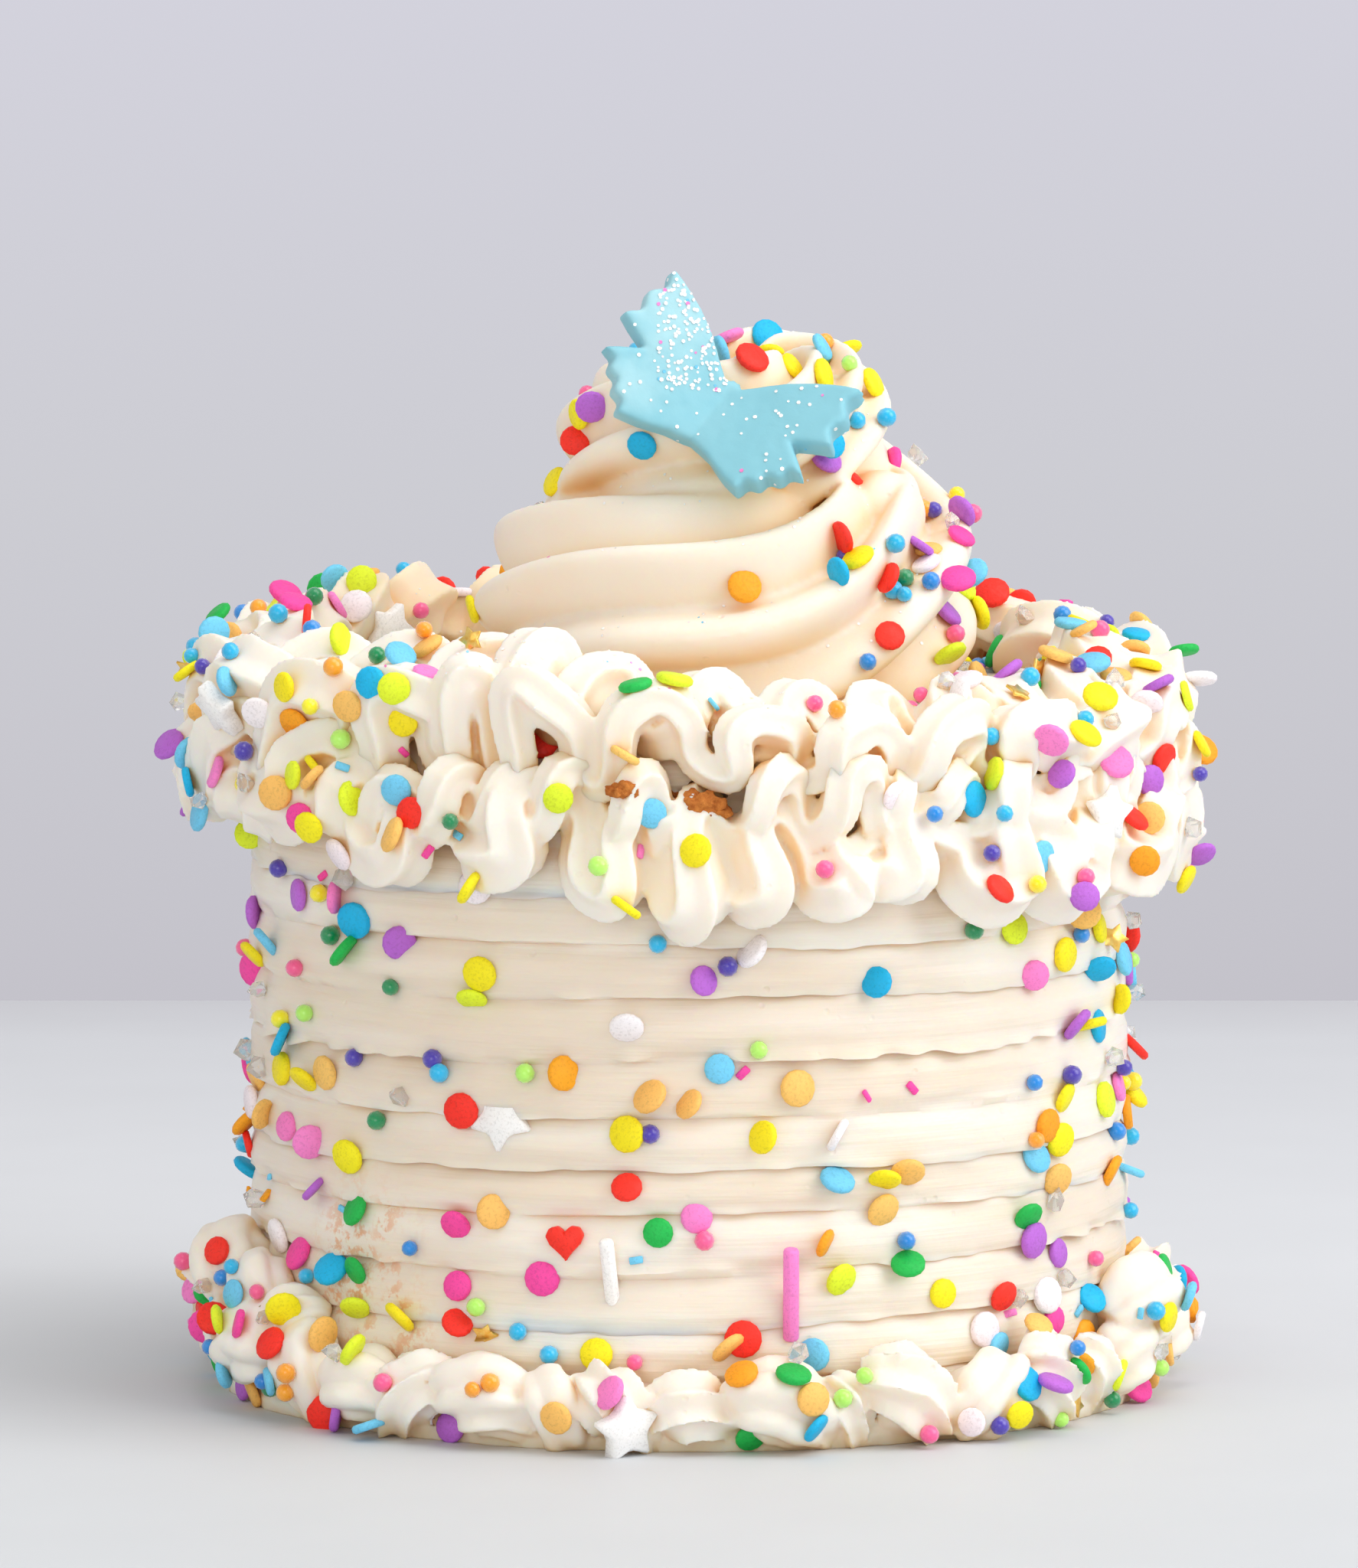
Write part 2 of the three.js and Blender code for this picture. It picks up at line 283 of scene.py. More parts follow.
class Nodes:
    """A small helper for wiring one material's nodes."""

    def __init__(self, name):
        self.material = bpy.data.materials.new(name)
        self.material.use_nodes = True
        self.tree = self.material.node_tree
        self.shader = self.tree.nodes["Principled BSDF"]
        self.place = self.add("ShaderNodeTexCoord").outputs["Object"]

    def add(self, kind, **settings):
        node = self.tree.nodes.new(kind)
        for name, value in settings.items():
            if name in node.inputs:
                node.inputs[name].default_value = value
            else:
                setattr(node, name, value)
        return node

    def fill(self, socket, value):
        """Links a socket to another's output, or sets it to a number, a place or a colour."""
        if isinstance(value, bpy.types.NodeSocket):
            self.tree.links.new(value, socket)
        elif socket.type == "RGBA":
            socket.default_value = (*value, 1)
        else:
            socket.default_value = value

    def plain(self, socket):
        """What already feeds one of the shader's sockets."""
        return self.shader.inputs[socket].links[0].from_socket

    def noise(self, scale, detail=3.0, rough=0.5, stretch=None):
        node = self.add("ShaderNodeTexNoise", Scale=scale, Detail=detail, Roughness=rough)
        place = self.place
        if stretch:
            mapping = self.add("ShaderNodeMapping", Scale=stretch)
            self.fill(mapping.inputs["Vector"], place)
            place = mapping.outputs["Vector"]
        self.fill(node.inputs["Vector"], place)
        return node.outputs["Fac"]

    def axis(self, letter):
        node = self.add("ShaderNodeSeparateXYZ")
        self.fill(node.inputs["Vector"], self.place)
        return node.outputs[letter]

    def maths(self, kind, operation, *values, output="Value"):
        """A sum or a measure of numbers or of places."""
        node = self.add(kind, operation=operation)
        for socket, value in zip(node.inputs, values):
            self.fill(socket, value)
        return node.outputs[output]

    def ramp(self, value, *stops):
        """Blends between stops, each a place and a colour or, for a grey, one number."""
        node = self.add("ShaderNodeValToRGB")
        elements = node.color_ramp.elements
        while len(elements) < len(stops):
            elements.new(0.5)
        for element, (place, colour) in zip(elements, stops):
            element.position = place
            grey = isinstance(colour, (int, float))
            element.color = (*((colour,) * 3 if grey else colour), 1)
        self.fill(node.inputs["Fac"], value)
        return node.outputs["Color"]

    def mix(self, share, first, second, blend="MIX"):
        node = self.add("ShaderNodeMix", data_type="RGBA", blend_type=blend)
        self.fill(node.inputs[0], share)
        self.fill(node.inputs[6], first)
        self.fill(node.inputs[7], second)
        return node.outputs[2]

    def times(self, first, second):
        return self.mix(1.0, first, second, "MULTIPLY")

    def bump(self, height, strength, distance, under=None):
        node = self.add("ShaderNodeBump", Strength=strength, Distance=distance)
        self.fill(node.inputs["Height"], height)
        if under:
            self.fill(node.inputs["Normal"], under)
        return node.outputs["Normal"]

    def set(self, **settings):
        for name, value in settings.items():
            self.fill(self.shader.inputs[name.replace("_", " ")], value)


def colours():
    return bpy.context.scene.cake_colours


def buttercream(name, hollow_shade=1.0, deep=7 * MM, rich=0.0):
    """Whipped butter icing: pale crests, a painted tan-orange shade in its hollows and a deeper
    painted shade in its creases, pinholes and a soft translucence.
    """
    nodes = Nodes(name)
    hollow = nodes.add("ShaderNodeAmbientOcclusion", samples=6, Distance=deep).outputs["AO"]
    # Painted shade: the colour turns tan-orange where ambient occlusion finds a hollow.
    painted_fold_shade = nodes.ramp(hollow, (0.12, hollow_shade), (0.72, 0))
    drift = nodes.ramp(nodes.noise(45, 4), (0.35, 0), (0.7, 1))
    base = nodes.mix(drift, colours().icing_pale, colours().icing_cream)
    base = nodes.mix(rich, base, colours().icing_shade_tone)
    base = nodes.mix(painted_fold_shade, base, colours().icing_shade_tone)
    # Painted shade: a darker colour still in the tightest creases.
    crease = nodes.ramp(hollow, (0.05, 0.75 * hollow_shade), (0.36, 0))
    base = nodes.mix(crease, base, colours().icing_crease_shade)
    pores = nodes.add("ShaderNodeTexVoronoi", Scale=420, Randomness=1)
    nodes.fill(pores.inputs["Vector"], nodes.place)
    few = nodes.ramp(nodes.noise(160, 1), (0.58, 0), (0.64, 1))
    pit = nodes.ramp(pores.outputs["Distance"], (0.05, 0), (0.2, 1))
    pit = nodes.mix(few, (1, 1, 1), pit)
    fine = nodes.bump(nodes.noise(1500, 3), 0.25, 0.05 * MM)
    soft = nodes.bump(nodes.noise(320, 4), 0.35, 0.2 * MM, fine)
    nodes.set(
        Base_Color=base,
        Roughness=nodes.ramp(nodes.noise(240, 3), (0.3, 0.42), (0.7, 0.58)),
        Normal=nodes.bump(pit, 0.5, 0.3 * MM, soft),
        Subsurface_Weight=0.5,
        Subsurface_Radius=(1.0, 0.5, 0.22),
        Subsurface_Scale=3.5 * MM,
        Specular_IOR_Level=0.38,
    )
    return nodes


def coat_material():
    """The coat's buttercream, with crumbs dragged from the sponge low on the left."""
    nodes = buttercream("combed_icing", 0.45)
    # Tan bands round the coat, varying at random from band to band.
    thin = nodes.ramp(nodes.noise(1, 2, stretch=(9, 9, 105)), (0.42, 0.12), (0.58, 0.75))
    base = nodes.mix(thin, nodes.plain("Base Color"), colours().coat_shade)
    specks = nodes.ramp(nodes.noise(700, 4, 0.65), (0.48, 0), (0.58, 1))
    streaks = nodes.ramp(nodes.noise(190, 3), (0.35, 0), (0.55, 1))
    smear = nodes.times(specks, streaks)
    for degrees, z, reach in CRUMB_SMEARS:
        spot = around(degrees, COAT_RADIUS, z * MM)
        far = nodes.maths("ShaderNodeVectorMath", "DISTANCE", nodes.place, spot)
        close = nodes.ramp(far, (0.3 * reach * MM, 0.75), (reach * MM, 0))
        base = nodes.mix(nodes.times(close, smear), base, colours().crumb_smear)
    lines = nodes.noise(1, 3, stretch=(22, 22, 640))
    nodes.set(
        Base_Color=base,
        Roughness=nodes.ramp(nodes.noise(90, 3), (0.3, 0.3), (0.7, 0.44)),
        Normal=nodes.bump(lines, 0.8, 0.5 * MM, nodes.plain("Normal")),
    )
    return nodes.material


def crest_material():
    """The upper ruffle's buttercream, with a painted tan-orange shade on the inner side at the back.
    """
    nodes = buttercream("upper_icing", 1.0, 6 * MM)
    centre = AXIS + Vector((0, 8, 0)) * MM
    flat = nodes.maths(
        "ShaderNodeVectorMath", "MULTIPLY_ADD", nodes.place, (1, 1, 0), -centre, output="Vector"
    )
    far = nodes.maths("ShaderNodeVectorMath", "LENGTH", flat)
    # Painted shade on the inner side of the crest at the back.
    inner = nodes.ramp(far, (42 * MM, 0.55), (54 * MM, 0))
    back = nodes.ramp(nodes.axis("Y"), (5 * MM, 0), (25 * MM, 1))
    share = nodes.times(inner, back)
    nodes.set(Base_Color=nodes.mix(share, nodes.plain("Base Color"), colours().icing_shade_tone))
    return nodes.material


def fondant_material():
    """Rolled fondant: pale where it is dusted, with faint mottling and a fine grain."""
    nodes = Nodes("blue_fondant")
    pale, blue = colours().wing_pale, colours().wing_blue
    base = nodes.mix(nodes.ramp(nodes.noise(110, 3), (0.35, 0), (0.7, 1)), blue, pale)
    out = WINGS_OUT[1]
    along = nodes.maths("ShaderNodeVectorMath", "DOT_PRODUCT", nodes.place, out)
    along = nodes.maths("ShaderNodeMath", "ADD", along, 20 * MM - BUTTERFLY.dot(out))
    undusted = nodes.ramp(along, (12 * MM, 0), (24 * MM, 1))
    fine = nodes.bump(nodes.noise(2200, 3), 0.3, 0.05 * MM)
    nodes.set(
        Base_Color=nodes.mix(undusted, base, nodes.mix(0.25, blue, pale)),
        Roughness=nodes.ramp(nodes.noise(300, 3), (0.3, 0.45), (0.7, 0.62)),
        Normal=nodes.bump(nodes.noise(260, 3), 0.25, 0.3 * MM, fine),
        Subsurface_Weight=0.2,
        Subsurface_Radius=(0.5, 0.8, 1.0),
        Subsurface_Scale=1.5 * MM,
        Specular_IOR_Level=0.35,
    )
    return nodes.material


def own_tint(nodes):
    """The tint that each sprinkle carries."""
    return nodes.add("ShaderNodeAttribute", attribute_name="tint").outputs["Color"]


def sugar_material(name, rough, coat):
    """Pressed or polished sugar in each sprinkle's own tint, with a fine speckle; polished sugar also
    has a painted sheen, paler in patches and where its surface turns away from the eye.
    """
    nodes = Nodes(name)
    tint = own_tint(nodes)
    if coat:
        # Painted sheen: polished sugar is painted paler where its surface turns away from the eye, and
        # in patches.
        rim = nodes.add("ShaderNodeLayerWeight", Blend=0.35).outputs["Facing"]
        pale = nodes.mix(0.55, tint, (1, 0.97, 0.99))
        sheen = nodes.ramp(nodes.noise(900, 2), (0.35, 0.1), (0.7, 0.6))
        base = nodes.mix(sheen, tint, nodes.mix(rim, tint, pale))
    else:
        base = nodes.times(tint, nodes.ramp(nodes.noise(2600, 2, 0.7), (0.33, 0.84), (0.5, 1)))
    nodes.set(
        Base_Color=base,
        Roughness=nodes.ramp(nodes.noise(1200, 2), (0.3, rough - 0.08), (0.7, rough + 0.08)),
        Normal=nodes.bump(nodes.noise(2400, 3), 0.6 * (1 - coat), 0.14 * MM),
        Coat_Weight=coat,
        Subsurface_Weight=0.12,
        Subsurface_Radius=(1, 0.8, 0.7),
        Subsurface_Scale=0.6 * MM,
        Specular_IOR_Level=0.35,
    )
    return nodes.material


def gold_material():
    nodes = Nodes("gold_foil")
    nodes.set(
        Base_Color=nodes.ramp(nodes.noise(1500, 2), (0.3, (0.9, 0.5, 0.08)), (0.7, (1.0, 0.75, 0.25))),
        Metallic=0.9,
        Roughness=0.28,
        Normal=nodes.bump(nodes.noise(1800, 2), 0.3, 0.1 * MM),
    )
    return nodes.material


def crystal_material():
    nodes = Nodes("clear_sugar")
    nodes.set(
        Base_Color=nodes.ramp(nodes.noise(700, 2), (0.3, (0.9, 0.93, 0.95)), (0.7, 1)),
        Roughness=nodes.ramp(nodes.noise(900, 2), (0.3, 0.08), (0.7, 0.3)),
        Transmission_Weight=0.75,
        IOR=1.5,
    )
    return nodes.material


def glitter_material():
    nodes = Nodes("glitter")
    spark = nodes.ramp(nodes.noise(1500, 1), (0.4, 0.85), (0.6, 1))
    nodes.set(Base_Color=nodes.times(own_tint(nodes), spark), Roughness=0.2, Coat_Weight=0.6)
    return nodes.material


def crumb_material():
    nodes = Nodes("sponge_crumb")
    baked = ((0.3, colours().crust), (0.65, colours().crumb))
    nodes.set(
        Base_Color=nodes.ramp(nodes.noise(600, 6, 0.7), *baked),
        Roughness=0.9,
        Normal=nodes.bump(nodes.noise(900, 5, 0.7), 0.8, 0.6 * MM),
        Specular_IOR_Level=0.2,
    )
    return nodes.material


# ---------------------------------------------------------------- what a user may change

def length(name, description, default):
    return bpy.props.FloatProperty(
        name=name, description=description, default=default, unit="LENGTH", min=0
    )


def colour(name, description, default):
    return bpy.props.FloatVectorProperty(
        name=name, description=description, default=default, subtype="COLOR", min=0, max=1
    )


class CakeColours(bpy.types.PropertyGroup):
    icing_pale: colour("Pale icing", "Crests of the buttercream", (0.935, 0.892, 0.828))
    icing_cream: colour("Cream icing", "Body of the buttercream", (0.915, 0.84, 0.745))
    # The next two are the colours of painted shade in the icing's hollows and creases.
    icing_shade_tone: colour("Hollow icing", "Buttercream deep in a fold", (0.93, 0.65, 0.32))
    icing_crease_shade: colour("Icing crease", "Deepest folds of the icing", (0.86, 0.5, 0.19))
    # The colour of the coat's tan bands, spread at random.
    coat_shade: colour("Coat shade", "Thinner patches of the coat", (0.81, 0.69, 0.555))
    crumb_smear: colour("Crumb smear", "Crumbs dragged into the coat", (0.80, 0.33, 0.11))
    crust: colour("Crust", "Baked edge of the sponge", (0.34, 0.075, 0.014))
    crumb: colour("Crumb", "Inside of the sponge", (0.70, 0.26, 0.055))
    wing_pale: colour("Pale wing", "Dusted part of the butterfly", (0.385, 0.665, 0.745))
    wing_blue: colour("Blue wing", "Plain part of the butterfly", (0.19, 0.51, 0.62))


class CakeSizes(bpy.types.PropertyGroup):
    comb_depth: length("Comb depth", "How deep the comb draws", 1.4 * MM)
    rope: length("Rope", "Half thickness of the lower ruffle's rope", 4.0 * MM)


# ---------------------------------------------------------------- sponge and coat

class CAKE_OT_sponge(bpy.types.Operator):
    """The golden sponge, seen where the icing doesn't meet"""

    bl_idname = "cake.sponge"
    bl_label = "Sponge"

    def execute(self, context):
        deselect()
        bpy.ops.mesh.primitive_cylinder_add(
            vertices=180,
            radius=SPONGE_RADIUS,
            depth=SPONGE_TOP,
            location=AXIS + Vector((0, 0, SPONGE_TOP / 2)),
        )
        sponge = settle(bpy.context.object, "sponge_crumb")
        apply_modifier(sponge, "REMESH", mode="VOXEL", voxel_size=1.2 * MM)
        roughen(sponge, 0.35 * MM, 1.6 * MM, 4)
        pick(sponge)
        bpy.ops.object.shade_smooth()
        finish_piece(sponge, crumb_material(), "crumb", "sponge")
        return {"FINISHED"}


# Heights of the comb's grooves in millimetres, and how ragged the lips over some of them are.
GROOVES = (0, 8, 14.9, 22, 29.1, 35.1, 41.7, 48.6, 56.3, 63, 69.8, 76.6, 82)
RAGGED = {1: 0.5, 2: 0.35, 3: 0.6, 4: 0.3, 5: 0.5, 6: 0.35, 7: 1.0, 8: 0.4, 9: 0.45, 10: 0.4}
# Crumbs smeared in the coat: degrees, height and reach in millimetres.
CRUMB_SMEARS = ((-47, 24, 10), (-50, 16, 9), (-41, 14, 7), (-12, 75, 5))
# Crumbs that show in the folds: across, up, width and height, seen from the front.
CRUMB_CLUMPS = ((1.4, 75, 6, 3.6), (3.9, 74.3, 3, 2.6), (-8.6, 77, 4.2, 2.2), (-2, 76.2, 2.4, 1.6))
CRUMB_GAPS = ((-8.5, 83.6, 2.4, 1.8), (1.8, 82.4, 3.2, 2.4))


def coat_profile(sizes):
    """[radius, z] up the combed wall, over the edge to the axis, and back down inside."""
    shares = (0, 0.025, 0.06, 0.12, 0.2, 0.3, 0.42, 0.55, 0.68, 0.8, 0.9, 0.96)
    profile = []
    for low, high in zip(GROOVES, GROOVES[1:]):
        for share in shares:
            under = max(0, (0.3 - share) / 0.3) ** 1.6
            above = max(0, (share - 0.35) / 0.65) ** 2.1
            inset = sizes.comb_depth * (0.45 * under + 1.1 * above)
            profile.append((COAT_RADIUS - inset, (low + (high - low) * share) * MM))
    edge = COAT_TOP - GROOVES[-1] * MM
    for step in range(1, 7):
        turn = step / 6 * math.pi / 2
        radius = COAT_RADIUS - edge * (1 - math.cos(turn)) * 0.6
        profile.append((radius, COAT_TOP - edge + edge * math.sin(turn)))
    profile += [(radius * MM, COAT_TOP) for radius in (45, 38, 30, 20, 10)]
    room = 0.3 * MM
    profile += [(0, COAT_TOP), (0, SPONGE_TOP + room)]
    profile += [(SPONGE_RADIUS + room, SPONGE_TOP + room), (SPONGE_RADIUS + room, 0)]
    return profile


class CAKE_OT_icing_coat(bpy.types.Operator):
    """The buttercream coat with the bands and lips that a comb draws"""

    bl_idname = "cake.icing_coat"
    bl_label = "Icing coat"

    def execute(self, context):
        profile = coat_profile(context.scene.cake_sizes)
        points = [AXIS + Vector((0, -radius, z)) for radius, z in profile]
        edges = [(k, (k + 1) % len(points)) for k in range(len(points))]
        mesh = bpy.data.meshes.new("combed_coat")
        mesh.from_pydata(points, edges, [])
        coat = pick(add_object("combed_coat", mesh))
        bpy.ops.object.mode_set(mode="EDIT")
        bpy.ops.mesh.select_all(action="SELECT")
        bpy.ops.mesh.spin(steps=420, angle=TURN, center=AXIS, axis=(0, 0, 1))
        bpy.ops.mesh.select_all(action="SELECT")
        bpy.ops.mesh.remove_doubles(threshold=0.004 * MM)
        bpy.ops.mesh.normals_make_consistent(inside=False)
        bpy.ops.object.mode_set(mode="OBJECT")
        for vert in coat.data.vertices:
            vert.co = self.drawn(vert.co)
        self.open_gaps(coat)
        pick(coat)
        bpy.ops.object.shade_smooth_by_angle(angle=math.radians(60))
        finish_piece(coat, coat_material(), "icing", "icing_coat")
        return {"FINISHED"}

    def drawn(self, spot):
        """Where the comb's wander, its ragged lips and its smears take a point."""
        x, y, z = spot.x - AXIS.x, spot.y - AXIS.y, spot.z
        radius = math.hypot(x, y)
        if radius < SPONGE_RADIUS + 1.2 * MM and z < COAT_TOP - 1 * MM:
            return spot
        degrees = math.degrees(math.atan2(x, -y))
        if z > GROOVES[-1] * MM - 0.01 * MM:
            lump = 0.5 * MM * noise.noise(spot * 60)
            return around(degrees, radius + lump * (radius > 0.03), z + lump)
        band = max(k for k, groove in enumerate(GROOVES) if groove * MM <= z + 0.01 * MM)
        share = (z / MM - GROOVES[band]) / (GROOVES[band + 1] - GROOVES[band])
        fade = min(1, z / (6 * MM), (GROOVES[-1] * MM - z) / (6 * MM))
        drag = 0.35 + 0.9 * abs(uneven(degrees / 24, band * 1.9 + 40))
        drag += 0.25 * uneven(degrees / 6, band)
        radius = COAT_RADIUS - (COAT_RADIUS - radius) * min(1.5, max(0.25, drag + 0.25))
        lift = 1.1 * MM * uneven(math.sin(math.radians(degrees)) * 1.5, 3 + band * 0.6) * fade
        lift += 0.9 * MM * math.sin(math.radians(degrees + 40)) * fade
        lip = 0
        if band in RAGGED and share < 0.14:
            rag = 0.45 + uneven(degrees / 5, band) + 0.5 * uneven(degrees / 31, band + 9)
            lip = RAGGED[band] * 1.2 * MM * min(1.3, max(0, rag)) * (1 - share / 0.14)
        smear = 0.4 * MM * noise.noise(Vector((spot.x * 45, spot.y * 45, z * 260)))
        smear += 0.18 * MM * noise.noise(Vector((spot.x * 160, spot.y * 160, z * 900)))
        return around(degrees, radius + lip + smear * min(1, fade + 0.2), z + lift - 0.5 * lip)

    def open_gaps(self, coat):
        """Two small gaps under the upper ruffle where the sponge shows."""
        for x, z, wide, high in CRUMB_GAPS:
            deselect()
            turn = math.asin(x / 57)
            bpy.ops.mesh.primitive_ico_sphere_add(subdivisions=4, radius=1)
            hole = bpy.context.object
            hole.scale = (wide * MM, 6.4 * MM, high * MM)
            hole.rotation_euler = (0, 0, turn)
            hole.location = around(math.degrees(turn), COAT_RADIUS, z * MM)
            settle(hole, "gap_cutter")
            roughen(hole, 0.5 * MM, 1.4 * MM, 8)
            apply_modifier(coat, "BOOLEAN", operation="DIFFERENCE", object=hole, solver="EXACT")
            bpy.data.objects.remove(hole)


# ---------------------------------------------------------------- ruffles

# Degrees from the front, with the height that each lobe of the lower ruffle hangs down to.
LOBES = {
    -74: 73, -56: 73.5, -35: 69, -24: 70, -10.5: 67, -2.2: 63.4, 5.2: 66, 15.4: 66,
    23.5: 68, 35.5: 64.8, 51: 63.8, 68: 65,
}
BACK_LOBES = {110: 65, 180: 66.5, 250: 69, 275: 72}
# How far the lower ruffle leans out, round the cake.
LEAN = {0: 1.0, 90: 1.06, 180: 1.0, 262: 0.62, 300: 0.85}
# How far the lower ruffle rises between its lobes.
FOLDS = {0: 12, 10: 10, 19.5: 5.5, 29: 9.5, 43: 11, 60: 9, 120: 13, 180: 11, 240: 13, 300: 12}
# The height of the upper ruffle's crest, and how thick both ropes are, round the cake.
CREST = {
    0: 99, 14: 98, 30: 96, 50: 96.5, 90: 99, 135: 101, 180: 99.6, 225: 104, 270: 101.5,
    300: 101, 320: 101.5, 337: 103.6, 349: 100,
}
THICK = {0: 0.86, 25: 0.9, 47: 1.25, 90: 1.35, 180: 1.2, 270: 1.35, 308: 1.3, 333: 0.95}
# How far out from the axis each row of piping may reach.
LOBES_LIMIT = 67.6 * MM
GATHERS_LIMIT = 67.2 * MM
ARCHES_LIMIT = 66.4 * MM
BORDER_LIMIT = 67.3 * MM
# How fine the ruffles' surface is.
RUFFLE_VOXEL = 0.42 * MM
# Degrees where the upper ruffle's arches stand on the cake, left of the middle and from there.
LEFT_ARCHES = (-57, -42, -30)
FRONT_ARCHES = (-24.5, -10.8, 2.4, 15, 27.5, 39, 53, 69)


def ring_of_turns(front, count, seed):
    """Where a ruffle turns: the given places at the front, then even ones round the back."""
    rng = random.Random(seed)
    step = (360 - (front[-1] - front[0])) / (count + 1)
    back = [front[-1] + step * (k + 1 + 0.22 * rng.uniform(-1, 1)) for k in range(count)]
    return list(front) + back


def folded_rope(turns, samples, swing, pinch, shape):
    """A rope that folds down at each turn and up between them. The shape gives a point and
    a width for its degrees, its rise from -1 to 1 and its side, -1 going down, 1 going up."""
    path, widths = [], []
    for low, high in zip(turns, turns[1:] + [turns[0] + 360]):
        curl = swing * (1 + 0.5 * uneven(low / 11, 71))
        for k in range(samples):
            u = k / samples
            along = u + curl * math.sin(2 * TURN * u) - pinch * math.sin(TURN * u)
            point, width = shape(
                low + (high - low) * along, -math.cos(TURN * u), math.sin(TURN * u)
            )
            path.append(point)
            widths.append(width)
    return path, widths


class CAKE_OT_lower_ruffle(bpy.types.Operator):
    """The lower ruffle: a ridged rope that hangs in uneven lobes from the top edge"""

    bl_idname = "cake.lower_ruffle"
    bl_label = "Lower ruffle"

    def execute(self, context):
        rope = context.scene.cake_sizes.rope
        turns = ring_of_turns(sorted(LOBES), 13, 5)
        lobes = {**LOBES, **BACK_LOBES}
        bottoms = {degrees % 360: height for degrees, height in lobes.items()}

        def shape(degrees, rise, side):
            width = rope * blend_values(THICK, degrees) * (1 + 0.13 * uneven(degrees / 6, 12))
            width *= 1 - 0.2 * rise
            degrees += 3.4 * uneven(degrees / 17, 61) * (1 - rise) / 2
            bottom = blend_values(bottoms, degrees) * MM + width
            top = bottom + blend_values(FOLDS, degrees) * MM * (1 + 0.25 * uneven(degrees / 8, 2))
            z = bottom + (top - bottom) * (rise + 1) / 2
            out = 1.2 * MM + width * (0.72 + 0.45 * side + 0.3 * uneven(degrees / 8, 6))
            out = out * blend_values(LEAN, degrees) + 0.6 * MM * (1 - rise)
            out = min(out, LOBES_LIMIT - COAT_RADIUS - width)
            return around(degrees, COAT_RADIUS + out, z), width

        def gathers(degrees, rise, side):
            width = 2.9 * MM * blend_values(THICK, degrees) ** 0.5
            width *= 1 + 0.22 * uneven(degrees / 4, 82)
            z = (81.6 + 1.8 * uneven(degrees / 10, 85)) * MM
            z += (3 + 1.5 * uneven(degrees / 5, 83)) * MM * rise
            out = 4.4 * MM + 1.6 * MM * side + 1.7 * MM * uneven(degrees / 6, 84)
            gap = near(degrees, 2, 4)
            width *= 1 - 0.5 * gap
            out = min(out - 4 * MM * gap, GATHERS_LIMIT - COAT_RADIUS - width)
            return around(degrees, COAT_RADIUS + out, z), width

        section = tip_section("lower_tip", 5, 0.3, 0.9)
        path, widths = folded_rope(turns, 30, 0.1, 0.07, shape)
        tilts = [0.8 * uneven(k / 42, 14) for k in range(len(path))]
        ropes = [pipe("lower_lobes", path, widths, section, tilts)]
        rng = random.Random(31)
        steps = [360 * k / 46 + 2.6 * rng.uniform(-1, 1) for k in range(46)]
        path, widths = folded_rope(steps, 16, 0.05, 0, gathers)
        tilts = [1.4 * uneven(k / 13, 15) for k in range(len(path))]
        ropes.append(pipe("lower_gathers", path, widths, section, tilts))
        bpy.data.objects.remove(section)
        ruffle = cream(ropes, "lower_ruffle_piping", RUFFLE_VOXEL, 170000, 1)
        settle(ruffle, "lower_ruffle_piping")
        icing = buttercream("lower_icing", 1.0, 6 * MM)
        finish_piece(ruffle, icing.material, "icing", "lower_ruffle")
        return {"FINISHED"}


class CAKE_OT_upper_ruffle(bpy.types.Operator):
    """The upper ruffle: small arches on the outside in front of a taller wavy crest"""

    bl_idname = "cake.upper_ruffle"
    bl_label = "Upper ruffle"

    def execute(self, context):
        turns = ring_of_turns(LEFT_ARCHES + FRONT_ARCHES, 14, 9)
        section = tip_section("upper_tip", 5, 0.32, 0.9)

        def arches(degrees, rise, side):
            width = 3.4 * MM * blend_values(THICK, degrees) ** 1.2
            width *= (1 + 0.12 * uneven(degrees / 5, 22)) * (1 + 0.12 * rise)
            degrees += 2.5 * uneven(degrees / 13, 63) * (1 - rise) / 2
            top = (blend_values(CREST, degrees) - 2.4 + 1.6 * uneven(degrees / 8, 66)) * MM - width
            bottom = 84.3 * MM + 2.2 * MM * uneven(degrees / 7, 5)
            z = bottom + (top - bottom) * (rise + 1) / 2
            radius = 60.2 * MM + 0.9 * MM * rise + 1.4 * MM * side
            radius += 1.3 * MM * uneven(degrees / 9, 67)
            radius = min(radius, ARCHES_LIMIT - width)
            return around(degrees, radius, z), width

        def crest(degrees, rise, side):
            width = 4.4 * MM * blend_values(THICK, degrees) ** 0.7
            width *= 1 + 0.16 * uneven(degrees / 6, 32)
            top = blend_values(CREST, degrees) * MM - width
            z = top - 4.6 * MM * (1 - rise) / 2 + 1.3 * MM * uneven(degrees / 7, 3)
            radius = 53.6 * MM - 2.4 * MM * rise + 1.8 * MM * side
            radius += 1.2 * MM * uneven(degrees / 9, 68)
            return around(degrees, radius, min(z, top + 0.4 * MM)), width

        path, widths = folded_rope(turns, 30, 0.09, 0.06, arches)
        ropes = [pipe("upper_arches", path, widths, section)]
        steps = [turn + 6.2 for turn in turns]
        path, widths = folded_rope(steps, 24, 0.06, 0, crest)
        tilts = [0.8 * uneven(k / 30, 24) for k in range(len(path))]
        ropes.append(pipe("upper_crest", path, widths, section, tilts))
        bpy.data.objects.remove(section)
        ruffle = cream(ropes, "upper_ruffle_piping", RUFFLE_VOXEL, 175000)
        settle(ruffle, "upper_ruffle_piping")
        finish_piece(ruffle, crest_material(), "icing", "upper_ruffle")
        return {"FINISHED"}


# How high the border is heaped, by degrees.
HEAPS = {0: 0, 40: 0.1, 78: 0.65, 110: 0.2, 250: 0.3, 283: 1, 318: 0.15}


